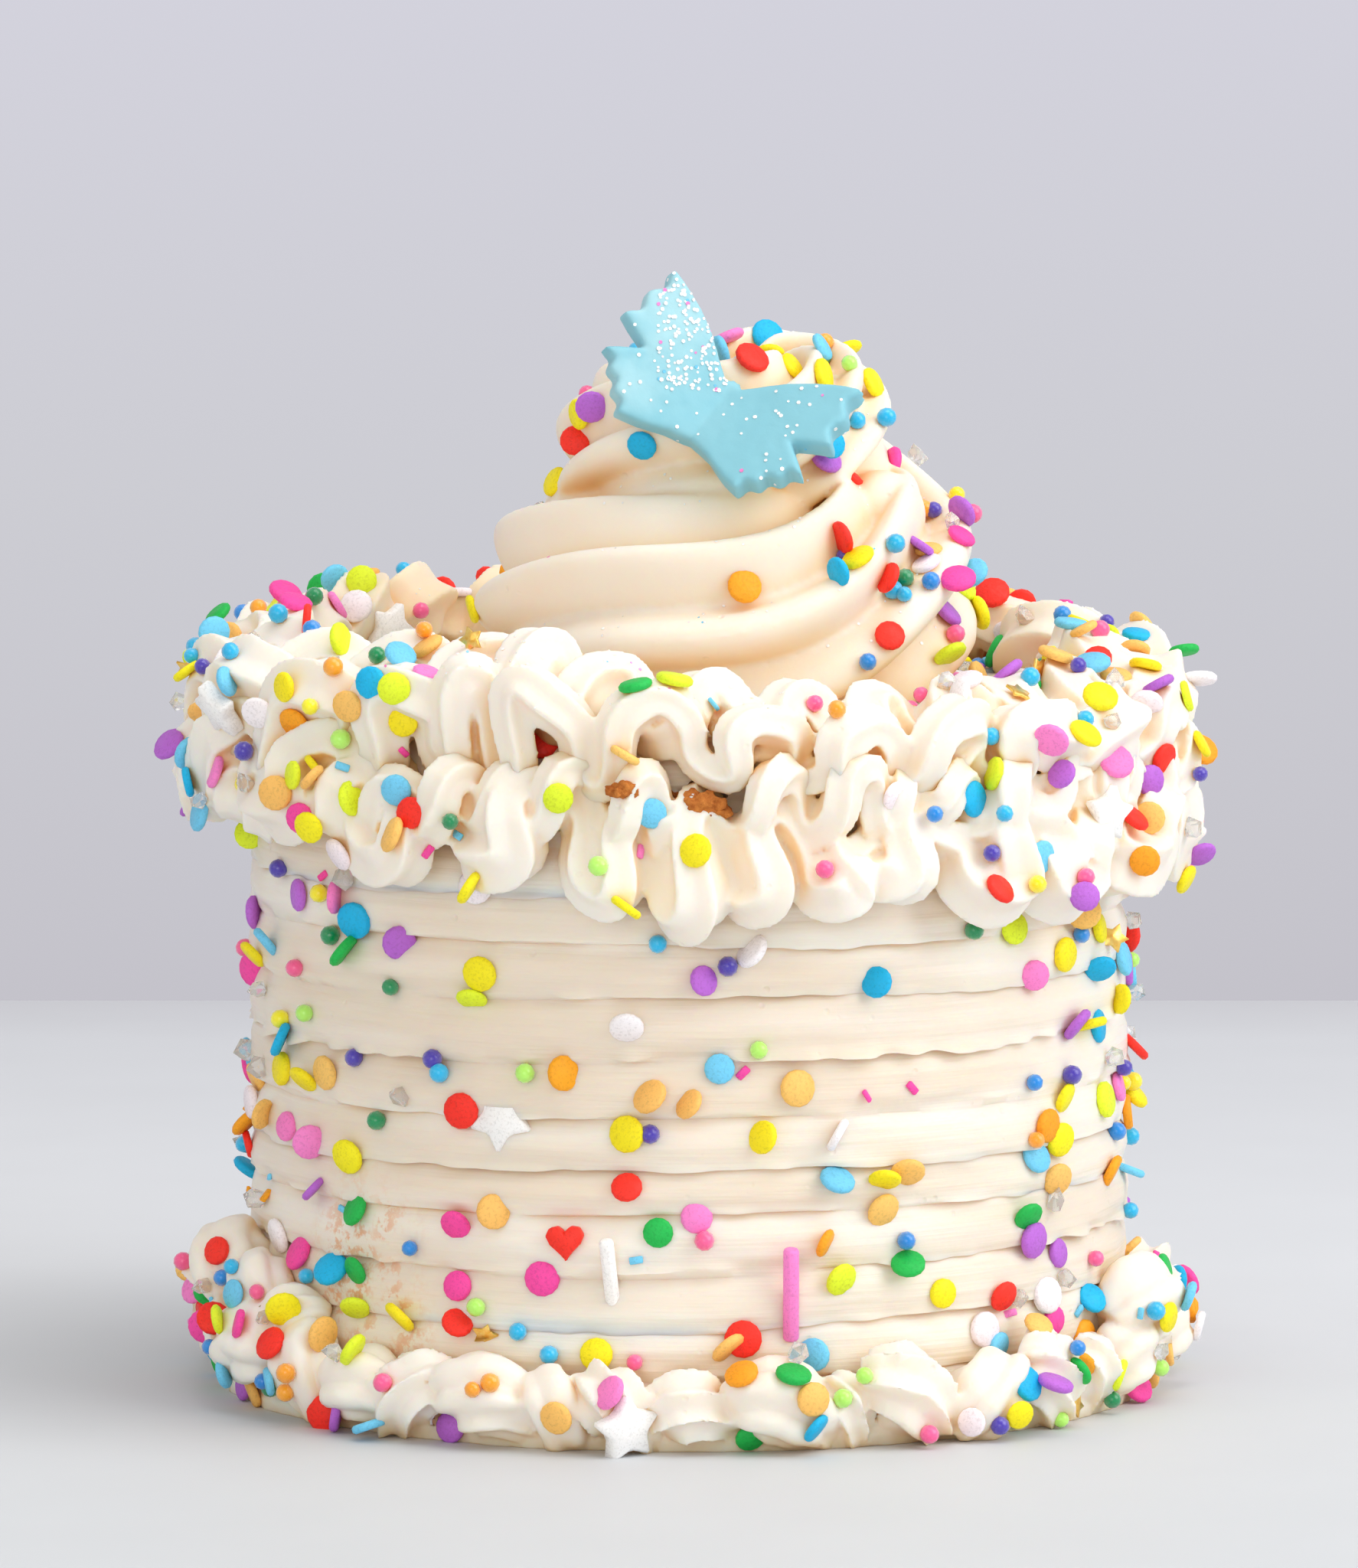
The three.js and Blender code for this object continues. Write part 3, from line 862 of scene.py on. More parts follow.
class CAKE_OT_shell_border(bpy.types.Operator):
    """The border round the foot: short, untidy shells, each let go in a different way"""

    bl_idname = "cake.shell_border"
    bl_label = "Shell border"

    def execute(self, context):
        tips = [
            tip_section("border_tip", 7, 0.34, 0.8),
            tip_section("worn_tip", 6, 0.22, 1.0, full=True, lean=1.5, spread=0.04),
        ]
        draw = random.Random(21)
        shells, degrees = [], 0.0
        while degrees < 360:
            heap = blend_values(HEAPS, degrees)
            shells.append(self.shell(degrees, heap * 3.4 * MM, draw.choice(tips), draw))
            if heap > 0.35:
                shells.append(self.shell(degrees + 5, (3 + 7.5 * heap) * MM, draw.choice(tips), draw))
            degrees += draw.uniform(7, 11.5)
        for section in tips:
            bpy.data.objects.remove(section)
        bpy.ops.mesh.primitive_torus_add(
            major_segments=96, minor_segments=12, location=AXIS + Vector((0, 0, 1.5 * MM)),
            major_radius=COAT_RADIUS + 0.5 * MM, minor_radius=3.2 * MM,
        )
        foot = settle(bpy.context.object, "border_foot")
        border = cream([*shells, foot], "shell_border_piping", 0.36 * MM, 150000, 1)
        roughen(border, 0.7 * MM, 6 * MM, 3)
        settle(border, "shell_border_piping")
        cut_below(border, 0.02 * MM)
        icing = buttercream("border_icing", 0.7, 4 * MM)
        finish_piece(border, icing.material, "icing", "shell_border")
        return {"FINISHED"}

    def shell(self, degrees, lift, section, draw):
        """One shell: pressed out thick, drawn along the foot or down it, and let go thin."""
        size = draw.uniform(0.74, 1.22)
        slope = draw.uniform(-0.7, 1.25)
        twist = draw.uniform(-2.6, 2.6)
        reach = 10.5 * MM * size
        steps = 14
        path, widths, tilts = [], [], []
        for k in range(steps + 1):
            share = k / steps
            swell = math.sin(math.pi * (0.16 + 0.8 * share)) ** 0.9
            width = 5.3 * MM * size * (0.25 + 0.75 * swell)
            along = (share - 0.45) * reach * math.cos(slope)
            drop = (0.5 - share) * reach * math.sin(slope)
            z = max(width * 0.62, width * 0.62 + 1.4 * MM + drop + 1.2 * MM * swell + lift)
            out = COAT_RADIUS + 0.35 * width + 2.6 * MM * swell - 0.12 * lift
            out = min(out, BORDER_LIMIT - width)
            path.append(around(degrees + math.degrees(along / COAT_RADIUS), out, z))
            widths.append(width)
            tilts.append(twist * share)
        return pipe("shell", path, widths, section, tilts, closed=False)


# The swirl's rope by turns wound: its distance out, its height and its half thickness.
SWIRL_OUT = (
    (0, 20), (0.7, 20.2), (0.97, 20.8), (1.15, 17), (1.4, 13), (2, 12.4), (2.35, 6), (2.6, 0.5),
)
SWIRL_RISE = ((0, 101), (0.75, 101.6), (0.97, 103.5), (1.3, 120), (1.9, 123.5), (2.6, 130.5))
SWIRL_THICK = (
    (0, 9.5), (0.12, 12.6), (0.85, 12.9), (1.1, 12.4), (1.35, 9.8), (2.1, 9.4), (2.45, 5.5),
    (2.6, 2.5),
)
# How much the finished rope is drawn out upwards.
SWIRL_STRETCH = 1.27
# Cream that closes the swirl's hollows: a place from its axis and a radius, in millimetres.
SWIRL_FILLING = (((19.6, -7.4, 113.5), 6), ((0, 0, 122.5), 7))


def read_off(table, place):
    """An eased value from a short table of (place, value)."""
    for (low, first), (high, last) in zip(table, table[1:]):
        if place <= high:
            share = max(0, (place - low) / (high - low))
            share = share * share * (3 - 2 * share)
            return first + (last - first) * share
    return table[-1][1]


class CAKE_OT_swirl(bpy.types.Operator):
    """The big piped swirl: a thick fluted rope that goes round low, climbs over its own
    start and closes at the top"""

    bl_idname = "cake.swirl"
    bl_label = "Swirl"

    def execute(self, context):
        section = tip_section("swirl_tip", 7, 0.38, 0.95, full=True, lean=1.7, spread=0.03)
        steps, start, turns = 150, 95, 2.6
        path, widths, tilts, tilt = [], [], [], 0
        for k in range(steps + 1):
            wound = turns * k / steps
            degrees = start + 360 * wound
            out = read_off(SWIRL_OUT, wound) * MM
            rise = read_off(SWIRL_RISE, wound) * MM / SWIRL_STRETCH
            angle = math.radians(degrees)
            path.append(SWIRL_AXIS + Vector((out * math.sin(angle), -out * math.cos(angle), rise)))
            widths.append(read_off(SWIRL_THICK, wound) * MM * (1 if k < steps else 0.3))
            tilts.append(tilt)
            tilt -= turns / steps * (4.2 - 3.2 * near(degrees, -20, 26) + 5 * near(degrees, 40, 20))
        swirl = pipe("cream_swirl", path, widths, section, tilts, closed=False)
        bpy.data.objects.remove(section)
        pick(swirl)
        bpy.ops.transform.resize(value=(1, 1, SWIRL_STRETCH), center_override=(0, 0, 0))
        settle(swirl, "cream_swirl")
        deselect()
        bpy.ops.mesh.primitive_cylinder_add(
            vertices=48, radius=18 * MM, depth=24 * MM, location=SWIRL_AXIS + Vector((0, 0, 0.101))
        )
        filling = [settle(bpy.context.object, "swirl_core")]
        for place, radius in SWIRL_FILLING:
            bpy.ops.mesh.primitive_ico_sphere_add(
                subdivisions=4, radius=radius * MM, location=SWIRL_AXIS + Vector(place) * MM
            )
            filling.append(settle(bpy.context.object, "swirl_filling"))
        swirl = cream([swirl, *filling], "cream_swirl", 0.5 * MM, 150000, 3)
        cut_below(swirl, COAT_TOP + 0.1 * MM)
        settle(swirl, "cream_swirl")
        icing = buttercream("swirl_icing", 1.0, 15 * MM, 0.1)
        finish_piece(swirl, icing.material, "icing", "swirl")
        return {"FINISHED"}


# ---------------------------------------------------------------- butterfly

BUTTERFLY = middle("butterfly") + Vector((-2.3, 0.55, -3.2)) * MM
BUTTERFLY_BODY = Vector((0.58, 0.446, 0.687)).normalized()
WINGS_OUT = (Vector((-0.765, 0.003, 0.644)), Vector((0.788, -0.522, -0.325)))
FONDANT_THICK = 3.4 * MM


def scallops(start, end, count, depth):
    """A wing's margin: hollow scallops from one corner to another."""
    start, end = Vector(start), Vector(end)
    side = Vector((end.y - start.y, start.x - end.x)).normalized()
    points = []
    for step in range(count * 6 + 1):
        share = step / (count * 6)
        hollow = math.sin(math.pi * share * count) ** 2
        points.append(start.lerp(end, share) + side * depth * hollow)
    return points


def bend(start, control, end):
    """A smooth edge from one corner to another, pulled towards a third point."""
    start, control, end = Vector(start), Vector(control), Vector(end)
    shares = [k / 8 for k in range(1, 8)]
    return [start.lerp(control, t).lerp(control.lerp(end, t), t) for t in shares]


def wing_outline():
    """One fore and hind wing: out from the body and along it, in millimetres."""
    points = [Vector((-0.6, 5)), Vector((1.2, 4.2))]
    points += bend((1.2, 4.2), (8, 10), (15, 11.5))
    points += scallops((15, 11.5), (16.6, 2.6), 2, 1.2)
    points += [Vector((11.4, 0.8))]
    points += scallops((15.5, -2.6), (9.3, -8.4), 3, 0.8)
    points += bend((9.3, -8.4), (6, -7.6), (3, -5.9))
    points += [Vector((3, -5.9)), Vector((-0.6, -4.8))]
    return points


class CAKE_OT_butterfly(bpy.types.Operator):
    """The cut fondant butterfly, its wings folded up a little and dusted with glitter"""

    bl_idname = "cake.butterfly"
    bl_label = "Butterfly"

    def execute(self, context):
        wings = [self.wing(out) for out in WINGS_OUT]
        butterfly = cream(wings, "fondant_butterfly", 0.3 * MM, 90000, 4)
        roughen(butterfly, 0.14 * MM, 5 * MM, 3)
        settle(butterfly, "fondant_butterfly")
        finish_piece(butterfly, fondant_material(), "fondant", "butterfly")
        return {"FINISHED"}

    def wing(self, out):
        curve = add_curve("wing", [(*(place * MM), 0) for place in wing_outline()], flat=True)
        curve.fill_mode = "BOTH"
        rounding = 0.6 * MM
        curve.extrude = FONDANT_THICK / 2 - rounding
        curve.bevel_depth = rounding
        curve.bevel_resolution = 2
        curve.offset = -rounding * 0.7
        wing = add_object("wing", curve)
        outward = (out - BUTTERFLY_BODY * out.dot(BUTTERFLY_BODY)).normalized()
        face = outward.cross(BUTTERFLY_BODY)
        behind = FONDANT_THICK / 2 if face.y > 0 else -FONDANT_THICK / 2
        turn = Matrix((outward, BUTTERFLY_BODY, face)).transposed().to_4x4()
        wing.matrix_world = Matrix.Translation(BUTTERFLY + face * behind) @ turn
        pick(wing)
        bpy.ops.object.convert(target="MESH")
        return bpy.context.object


# ---------------------------------------------------------------- sprinkles

# The sugar's tints, as six-figure colour codes.
SUGAR = {
    "sky": "70c8ee", "cyan": "14b0e2", "rose": "fb4aa4", "pink": "ff82c8", "yellow": "ffe414",
    "lime": "dcf02c", "orange": "ffa01c", "apricot": "ffbe66", "red": "fb3022",
    "green": "1cb44e", "purple": "b566cf", "lilac": "f6eaf1", "white": "ffffff",
    "blue": "1684d6", "navy": "4636a8", "pine": "008850", "leaf": "b0ee66", "coral": "f25a94",
    "gold": "f0b428", "ice": "fbfeff",
}
DISC_TINTS = (
    "sky", "sky", "cyan", "rose", "pink", "yellow", "yellow", "lime", "orange", "apricot",
    "apricot", "red", "green", "purple", "lilac", "lilac",
)
PEARL_TINTS = ("cyan", "cyan", "blue", "navy", "coral", "coral", "leaf", "pine", "yellow", "orange")
OTHER_TINTS = {
    "rod": ("white", "pink", "lime", "rose"), "star": ("white",), "gold_star": ("gold",),
    "heart": ("red",), "crystal": ("ice",), "fleck": ("pink", "sky", "rose", "orange"),
}
# How far each kind reaches from its middle, in millimetres.
REACH = {
    "disc": 1.9, "pearl": 1.25, "rod": 2.4, "star": 3.6, "gold_star": 1.4, "heart": 2.2,
    "crystal": 1.2, "fleck": 0.7,
}
# Sprinkles stick no lower than this, and not under cream that faces down more than this.
CLEAR_OF_TABLE = 0.4 * MM
OVERHANG = -0.6
# Sprinkles with a place of their own: across and up in millimetres, seen from the front.
PLACED = {
    ("disc", "red"): ((-57, 60), (-8, 25), (7, 5), (-48, -5), (-19, 83), (-36, 74), (25, 105),
                      (26, 97), (53, 94), (-17, 121), (-14, 123), (8, 133)),
    ("disc", "cyan"): ((-43, 60), (24, 52), (46, 2), (44, -1), (-41, 91), (58, 97),
                       (-6, 122), (10, 136)),
    ("disc", "green"): ((-44, 56), (-4, 19), (-43, 22), (-43, 14), (28, 15), (8, -8)),
    ("disc", "purple"): ((-37, 57), (-31, -7), (29, 109), (33, 100), (61, 90),
                         (-12, 127)),
    ("disc", "yellow"): ((-27, 53), (-8, 32), (-44, 29), (-37, 8), (-12, 3), (33, 11), (43, -5),
                         (-48, 80), (-37, 86), (-52, 90), (1, 69), (-8, 62), (22, 107), (53, 59),
                         (-14, 126), (13, 132), (17, 131), (24, 129)),
    ("disc", "apricot"): ((-47, 40), (0, 36), (-5, 37), (14, 38), (28, 27), (25, 22), (1, 57),
                          (-25, 22), (5, 4), (16, -3), (-44, 88), (-38, 71), (-51, 104), (31, 108),
                          (-22, 117), (-19, 119), (-12, 118)),
    ("disc", "orange"): ((-16, 40), (7, 0), (51, 2), (-51, 86), (7, 104), (36, 105), (59, 68)),
    ("disc", "rose"): ((-30, 20), (-30, 12), (-19, 13)),
    ("disc", "pink"): ((-52, 33), (1, 21), (-10, -2), (-34, 92), (-61, 79), (46, 84), (68, 74),
                       (5, 135)),
    ("disc", "lilac"): ((8, 56), (-8, 46), (19, 32), (37, -6), (-55, 87), (52, 101), (26, 76)),
    ("disc", "sky"): ((16, 3), (-35, -6), (40, 4), (-5, 74), (-63, 74), (42, 104), (56, 55)),
    ("disc", "lime"): ((-45, 96), (-51, 79), (-44, 76), (-38, 90), (-17, 76), (40, 79), (42, 59),
                       (-2, 91)),
    ("pearl", "cyan"): ((-32, 40), (-22, 6), (-18, 3), (-4, 57), (26, 109), (28, 102), (40, 84),
                        (41, 74), (51, 86), (25, 125)),
    ("pearl", "pine"): ((-46, 58), (28, 104), (-40, 94), (-49, 102), (-31, 73),
                        (18, 133)),
    ("pearl", "navy"): ((-43, 42), (-33, 42), (-5, 32), (5, 54), (40, -6), (-57, 82), (20, 107),
                        (66, 79), (40, 69), (32, 113)),
    ("pearl", "leaf"): ((-21, 40), (9, 43), (20, -3), (48, -6), (-45, 84), (-11, 67),
                        (21, 132)),
    ("pearl", "coral"): ((2, 18), (-7, 2), (34, 97), (16, 88), (51, 66), (26, 123)),
    ("pearl", "blue"): ((-36, 17), (28, 18), (32, 74)),
    ("pearl", "orange"): ((-28, -2), (-26, -1), (-46, 93), (19, 87), (18, 135)),
    ("pearl", "yellow"): ((-49, 88),),
    ("star", "white"): ((-24, 34), (-9, -8), (-39, 98), (-60, 88), (54, 74)),
    ("gold_star", "gold"): ((-28, 96), (46, 60)),
    ("heart", "red"): ((-16, 18),),
    ("rod", "white"): ((-10, 13),),
    ("rod", "pink"): ((13, 11), (-32, -10)),
    ("fleck", "rose"): ((7, 40), (23, 37), (29, 38), (-34, 69), (-37, 82)),
    ("fleck", "sky"): ((-30, 71), (-32, 70), (-45, 80), (3, 88)),
}
# Strewn from the side: degrees from and to, heights from and to in millimetres, how many.
FROM_THE_SIDE = (
    (-94, -48, 4, 62, 74), (45, 94, 4, 62, 80), (-48, -26, 6, 60, 12), (-26, 45, 6, 60, 12),
    (94, 266, 4, 62, 170), (-96, -34, 66, 103, 66), (32, 96, 64, 100, 46), (-34, 32, 66, 98, 9),
    (96, 264, 66, 102, 130), (-94, -40, 1, 17, 62), (40, 94, 1, 17, 62), (-40, 40, 1, 12, 12),
    (94, 266, 1, 14, 110), (35, 100, 104, 132, 16), (100, 292, 104, 134, 40),
)
# Strewn from above: degrees from and to, distances out from the axis, how many.
FROM_ABOVE = (
    (-96, -36, 48, 65, 34), (30, 100, 46, 65, 40), (100, 264, 48, 65, 64), (30, 130, 34, 50, 120),
    (130, 320, 36, 50, 50), (0, 360, 0, 15, 26),
)


def paint(code):
    """A light's strength in red, green and blue from a six-figure colour code."""
    parts = [int(code[k : k + 2], 16) / 255 for k in (0, 2, 4)]
    return [v / 12.92 if v <= 0.04045 else ((v + 0.055) / 1.055) ** 2.4 for v in parts]


class Strewing:
    """Decides where sprinkles land on the finished icing, without two in one place."""

    iced = (
        "combed_coat", "lower_ruffle_piping", "upper_ruffle_piping", "shell_border_piping",
        "cream_swirl", "fondant_butterfly",
    )

    def __init__(self):
        graph = bpy.context.evaluated_depsgraph_get()
        self.trees = [BVHTree.FromObject(bpy.data.objects[name], graph) for name in self.iced]
        self.rng = random.Random(2024)
        self.taken = []
        self.landed = {kind: [] for kind in REACH}
        for (kind, tint), spots in PLACED.items():
            for across, up in spots:
                target = AXIS + Vector((across, 0, up)) * MM
                self.land(kind, tint, EYE, (target - EYE).normalized(), 0.2)
        for low, high, floor, roof, count in FROM_THE_SIDE:
            for _ in range(count):
                degrees = self.rng.uniform(low, high)
                start = around(degrees, 0.16, self.rng.uniform(floor, roof) * MM)
                inward = (around(degrees + self.rng.uniform(-6, 6), 0, start.z) - start)
                self.land(*self.mixture(), start, inward.normalized())
        for low, high, inner, outer, count in FROM_ABOVE:
            for _ in range(count):
                on_swirl = outer < 20
                middle_point = SWIRL_AXIS - AXIS if on_swirl else Vector((0, 0, 0))
                out = self.rng.uniform(inner, outer) * MM
                start = around(self.rng.uniform(low, high), out, 0.2) + middle_point
                self.land(*self.mixture(), start, Vector((0, 0, -1)))

    def mixture(self):
        """One sprinkle from the jar."""
        draw = self.rng.random()
        if draw < 0.6:
            return "disc", self.rng.choice(DISC_TINTS)
        if draw < 0.86:
            return "pearl", self.rng.choice(PEARL_TINTS)
        if draw < 0.92:
            kind = "crystal"
        elif draw < 0.96:
            kind = "fleck"
        else:
            kind = self.rng.choice(("fleck", "gold_star"))
        return kind, self.rng.choice(OTHER_TINTS[kind])

    def land(self, kind, tint, start, direction, crowding=0.85):
        """Drops one sprinkle; it isn't kept if it misses or lands on another."""
        best = None
        for name, tree in zip(self.iced, self.trees):
            spot, normal, _, distance = tree.ray_cast(start, direction)
            if spot is not None and (best is None or distance < best[2]):
                spot.z = max(spot.z, REACH[kind] * MM) if spot.z > CLEAR_OF_TABLE else spot.z
                if name == "combed_coat" and spot.z < COAT_TOP - 9 * MM:
                    outward = Vector((spot.x - AXIS.x, spot.y - AXIS.y, 0)).normalized()
                    normal = (normal + 5 * outward).normalized()
                best = (spot, normal, distance)
        reach = REACH[kind] * MM
        draws = [self.rng.random() for _ in range(5)]
        if best is None or best[0].z < CLEAR_OF_TABLE or best[1].z < OVERHANG:
            return
        spot, normal, _ = best
        if spot.z < 1.3 * reach:
            normal = Vector((normal.x, normal.y, max(normal.z, 0))).normalized()
        for other, room in self.taken:
            if (other - spot).length < (room + reach) * crowding:
                return
        self.taken.append((spot, reach))
        if draws[0] < 0.5:
            lean = 20 * draws[1]
        elif draws[0] < 0.82:
            lean = 22 + 34 * draws[1]
        else:
            lean = 48 + 24 * draws[1]
        if kind in ("rod", "star", "heart"):
            lean *= 0.3
        size = 0.86 + 0.26 * draws[2]
        self.landed[kind].append((spot, normal, tint, lean, draws[3], draws[4], size))


STREWN = []


def strewn(kind):
    """The places of one kind. All kinds are strewn together, the first time one is asked for."""
    if not STREWN:
        STREWN.append(Strewing())
    return STREWN[0].landed[kind]


def laid(template, height, name, landings, upright=False):
    """Copies one modelled sprinkle to each place, leaning and pressed in a little."""
    copies = []
    half = max(max(abs(v.co.x), abs(v.co.y)) for v in template.data.vertices)
    for spot, normal, tint, lean, spin, turn, size in landings:
        copy = add_object(name, template.data.copy())
        stand = normal.to_track_quat("Z", "Y").to_matrix().to_4x4()
        turned = Matrix.Rotation(TURN * turn, 4, "Z")
        leaning = Matrix.Rotation(math.radians(lean), 4, "X")
        spun = Matrix.Rotation((0.06 if upright else TURN) * spin, 4, "Z")
        if upright:
            turned = Matrix.Identity(4)
        tall = half * math.sin(math.radians(lean)) + height / 2 * math.cos(math.radians(lean))
        lift = Matrix.Translation(spot + normal * tall * size * 0.5)
        copy.matrix_world = lift @ stand @ turned @ leaning @ spun @ Matrix.Scale(size, 4)
        shade = copy.data.color_attributes.new("tint", "FLOAT_COLOR", "POINT")
        vary = 1.06 + 0.12 * spin
        value = [min(1, channel * vary) for channel in paint(SUGAR[tint])] + [1]
        shade.data.foreach_set("color", value * len(copy.data.vertices))
        copies.append(copy)
    bpy.data.objects.remove(template)
    piece = join(copies, name)
    settle(piece, name)
    bpy.ops.object.shade_smooth_by_angle(angle=math.radians(50))
    return piece


def strew(template, height, kind, name, material, upright=False):
    """Copies one modelled sprinkle to all the places of its kind and finishes the piece."""
    piece = laid(template, height, name, strewn(kind), upright)
    finish_piece(piece, material, "fondant")
    return piece


class CAKE_OT_discs(bpy.types.Operator):
    """The flat round sugar discs"""

    bl_idname = "cake.discs"
    bl_label = "Sugar discs"

    def execute(self, context):
        deselect()
        thick = 1.05 * MM
        bpy.ops.mesh.primitive_cylinder_add(vertices=14, radius=2.15 * MM, depth=thick)
        disc = bpy.context.object
        apply_modifier(disc, "BEVEL", width=0.3 * MM, segments=1)
        strew(disc, thick, "disc", "sugar_discs", sugar_material("disc_sugar", 0.55, 0.0))
        return {"FINISHED"}


class CAKE_OT_pearls(bpy.types.Operator):
    """The small shiny sugar pearls"""

    bl_idname = "cake.pearls"
    bl_label = "Sugar pearls"

    def execute(self, context):
        deselect()
        radius = 1.2 * MM
        bpy.ops.mesh.primitive_uv_sphere_add(segments=10, ring_count=6, radius=radius)
        polished = sugar_material("pearl_sugar", 0.28, 0.6)
        strew(bpy.context.object, 2 * radius, "pearl", "sugar_pearls", polished)
        bpy.ops.object.shade_smooth()
        return {"FINISHED"}


class CAKE_OT_rods(bpy.types.Operator):
    """The round-ended sugar rods"""

    bl_idname = "cake.rods"
    bl_label = "Sugar rods"

    def execute(self, context):
        deselect()
        radius = 1.0 * MM
        bpy.ops.mesh.primitive_cylinder_add(
            vertices=8, radius=radius, depth=11.5 * MM, rotation=(math.pi / 2, 0, 0)
        )
        rod = settle(bpy.context.object, "rod")
        apply_modifier(rod, "BEVEL", width=0.45 * MM, segments=2, limit_method="ANGLE")
        sugar = sugar_material("rod_sugar", 0.5, 0.0)
        strew(rod, 2 * radius, "rod", "sugar_rods", sugar, upright=True)
        return {"FINISHED"}


class CAKE_OT_stars(bpy.types.Operator):
    """The white sugar stars and the little gold foil ones"""

    bl_idname = "cake.stars"
    bl_label = "Stars"

    def execute(self, context):
        thick, thin = 2.3 * MM, 0.4 * MM
        white = self.star(4.3 * MM, thick, 0.4 * MM)
        strew(white, thick, "star", "sugar_stars", sugar_material("star_sugar", 0.6, 0.0))
        foil = self.star(1.8 * MM, thin, 0.05 * MM)
        strew(foil, thin, "gold_star", "gold_stars", gold_material())
        return {"FINISHED"}

    def star(self, radius, thick, rounding):
        """A five-pointed star from a disc with every second corner drawn in."""
        deselect()
        bpy.ops.mesh.primitive_cylinder_add(vertices=10, radius=radius, depth=thick)
        star = bpy.context.object
        for vert in star.data.vertices:
            if round(math.degrees(math.atan2(vert.co.x, vert.co.y)) / 36) % 2:
                vert.co.x *= 0.55
                vert.co.y *= 0.55
        apply_modifier(star, "BEVEL", width=rounding, segments=1)
        return star


class CAKE_OT_trimmings(bpy.types.Operator):
    """The sugar hearts, the small flecks and the clear sugar crystals"""

    bl_idname = "cake.trimmings"
    bl_label = "Hearts, flecks and crystals"

    def execute(self, context):
        self.hearts()
        self.flecks()
        self.crystals()
        return {"FINISHED"}

    def hearts(self):
        """Hearts, from a disc with its rim drawn along the usual heart curve."""
        deselect()
        thick = 1.3 * MM
        bpy.ops.mesh.primitive_cylinder_add(vertices=16, radius=1, depth=thick)
        heart = bpy.context.object
        for vert in heart.data.vertices:
            angle = math.atan2(vert.co.x, vert.co.y)
            vert.co.x = 2.5 * MM * math.sin(angle) ** 3
            rise = 13 * math.cos(angle) - 5 * math.cos(2 * angle) - 2 * math.cos(3 * angle)
            vert.co.y = 0.16 * MM * (rise - math.cos(4 * angle))
        apply_modifier(heart, "BEVEL", width=0.2 * MM, segments=1, limit_method="ANGLE")
        sugar = sugar_material("heart_sugar", 0.5, 0.0)
        strew(heart, thick, "heart", "sugar_hearts", sugar, upright=True)

    def flecks(self):
        deselect()
        thick = 0.5 * MM
        bpy.ops.mesh.primitive_cube_add(size=1)
        fleck = bpy.context.object
        fleck.scale = (1.7 * MM, 0.9 * MM, thick)
        settle(fleck, "fleck")
        apply_modifier(fleck, "BEVEL", width=0.12 * MM, segments=1)
        strew(fleck, thick, "fleck", "sugar_flecks", sugar_material("fleck_sugar", 0.5, 0.0))

    def crystals(self):
        deselect()
        bpy.ops.mesh.primitive_ico_sphere_add(subdivisions=1, radius=1.3 * MM)
        crystal = bpy.context.object
        crystal.scale = (1.25, 0.85, 0.9)
        settle(crystal, "crystal")
        roughen(crystal, 0.7 * MM, 1.1 * MM, 5)
        strew(crystal, 2 * MM, "crystal", "clear_crystals", crystal_material())
        bpy.ops.object.shade_flat()


class CAKE_OT_crumbs(bpy.types.Operator):
    """Sponge crumbs that peep out between the two ruffles"""

    bl_idname = "cake.crumbs"
    bl_label = "Crumbs"

    def execute(self, context):
        graph = context.evaluated_depsgraph_get()
        names = ("lower_ruffle_piping", "upper_ruffle_piping", "combed_coat")
        trees = [BVHTree.FromObject(bpy.data.objects[name], graph) for name in names]
        clumps = []
        for index, (across, up, wide, high) in enumerate(CRUMB_CLUMPS):
            target = AXIS + Vector((across, 0, up)) * MM
            aim = (target - EYE).normalized()
            hits = [tree.ray_cast(EYE, aim) for tree in trees]
            distance = min(hit[3] for hit in hits if hit[0] is not None)
            deselect()
            bpy.ops.mesh.primitive_ico_sphere_add(subdivisions=4, radius=1)
            clump = bpy.context.object
            clump.scale = (wide / 2 * MM, 1.6 * MM, high / 2 * MM)
            clump.location = EYE + aim * (distance + 0.5 * MM)
            settle(clump, "clump")
            roughen(clump, 0.8 * MM, 1.0 * MM, 11 + index)
            clumps.append(clump)
        crumbs = join(clumps, "sponge_crumbs")
        settle(crumbs, "sponge_crumbs")
        bpy.ops.object.shade_smooth()
        finish_piece(crumbs, crumb_material(), "crumb")
        return {"FINISHED"}


# Where glitter falls: the piece, left, right, low and high in millimetres, and how many.
DUSTED = (
    ("fondant_butterfly", (-4, 5, 129, 146), 260),
    ("fondant_butterfly", (-12, 22, 116, 138), 80),
    ("cream_swirl", (-27, 32, 92, 126), 260),
    ("upper_ruffle_piping", (-40, 14, 86, 106), 240),
)


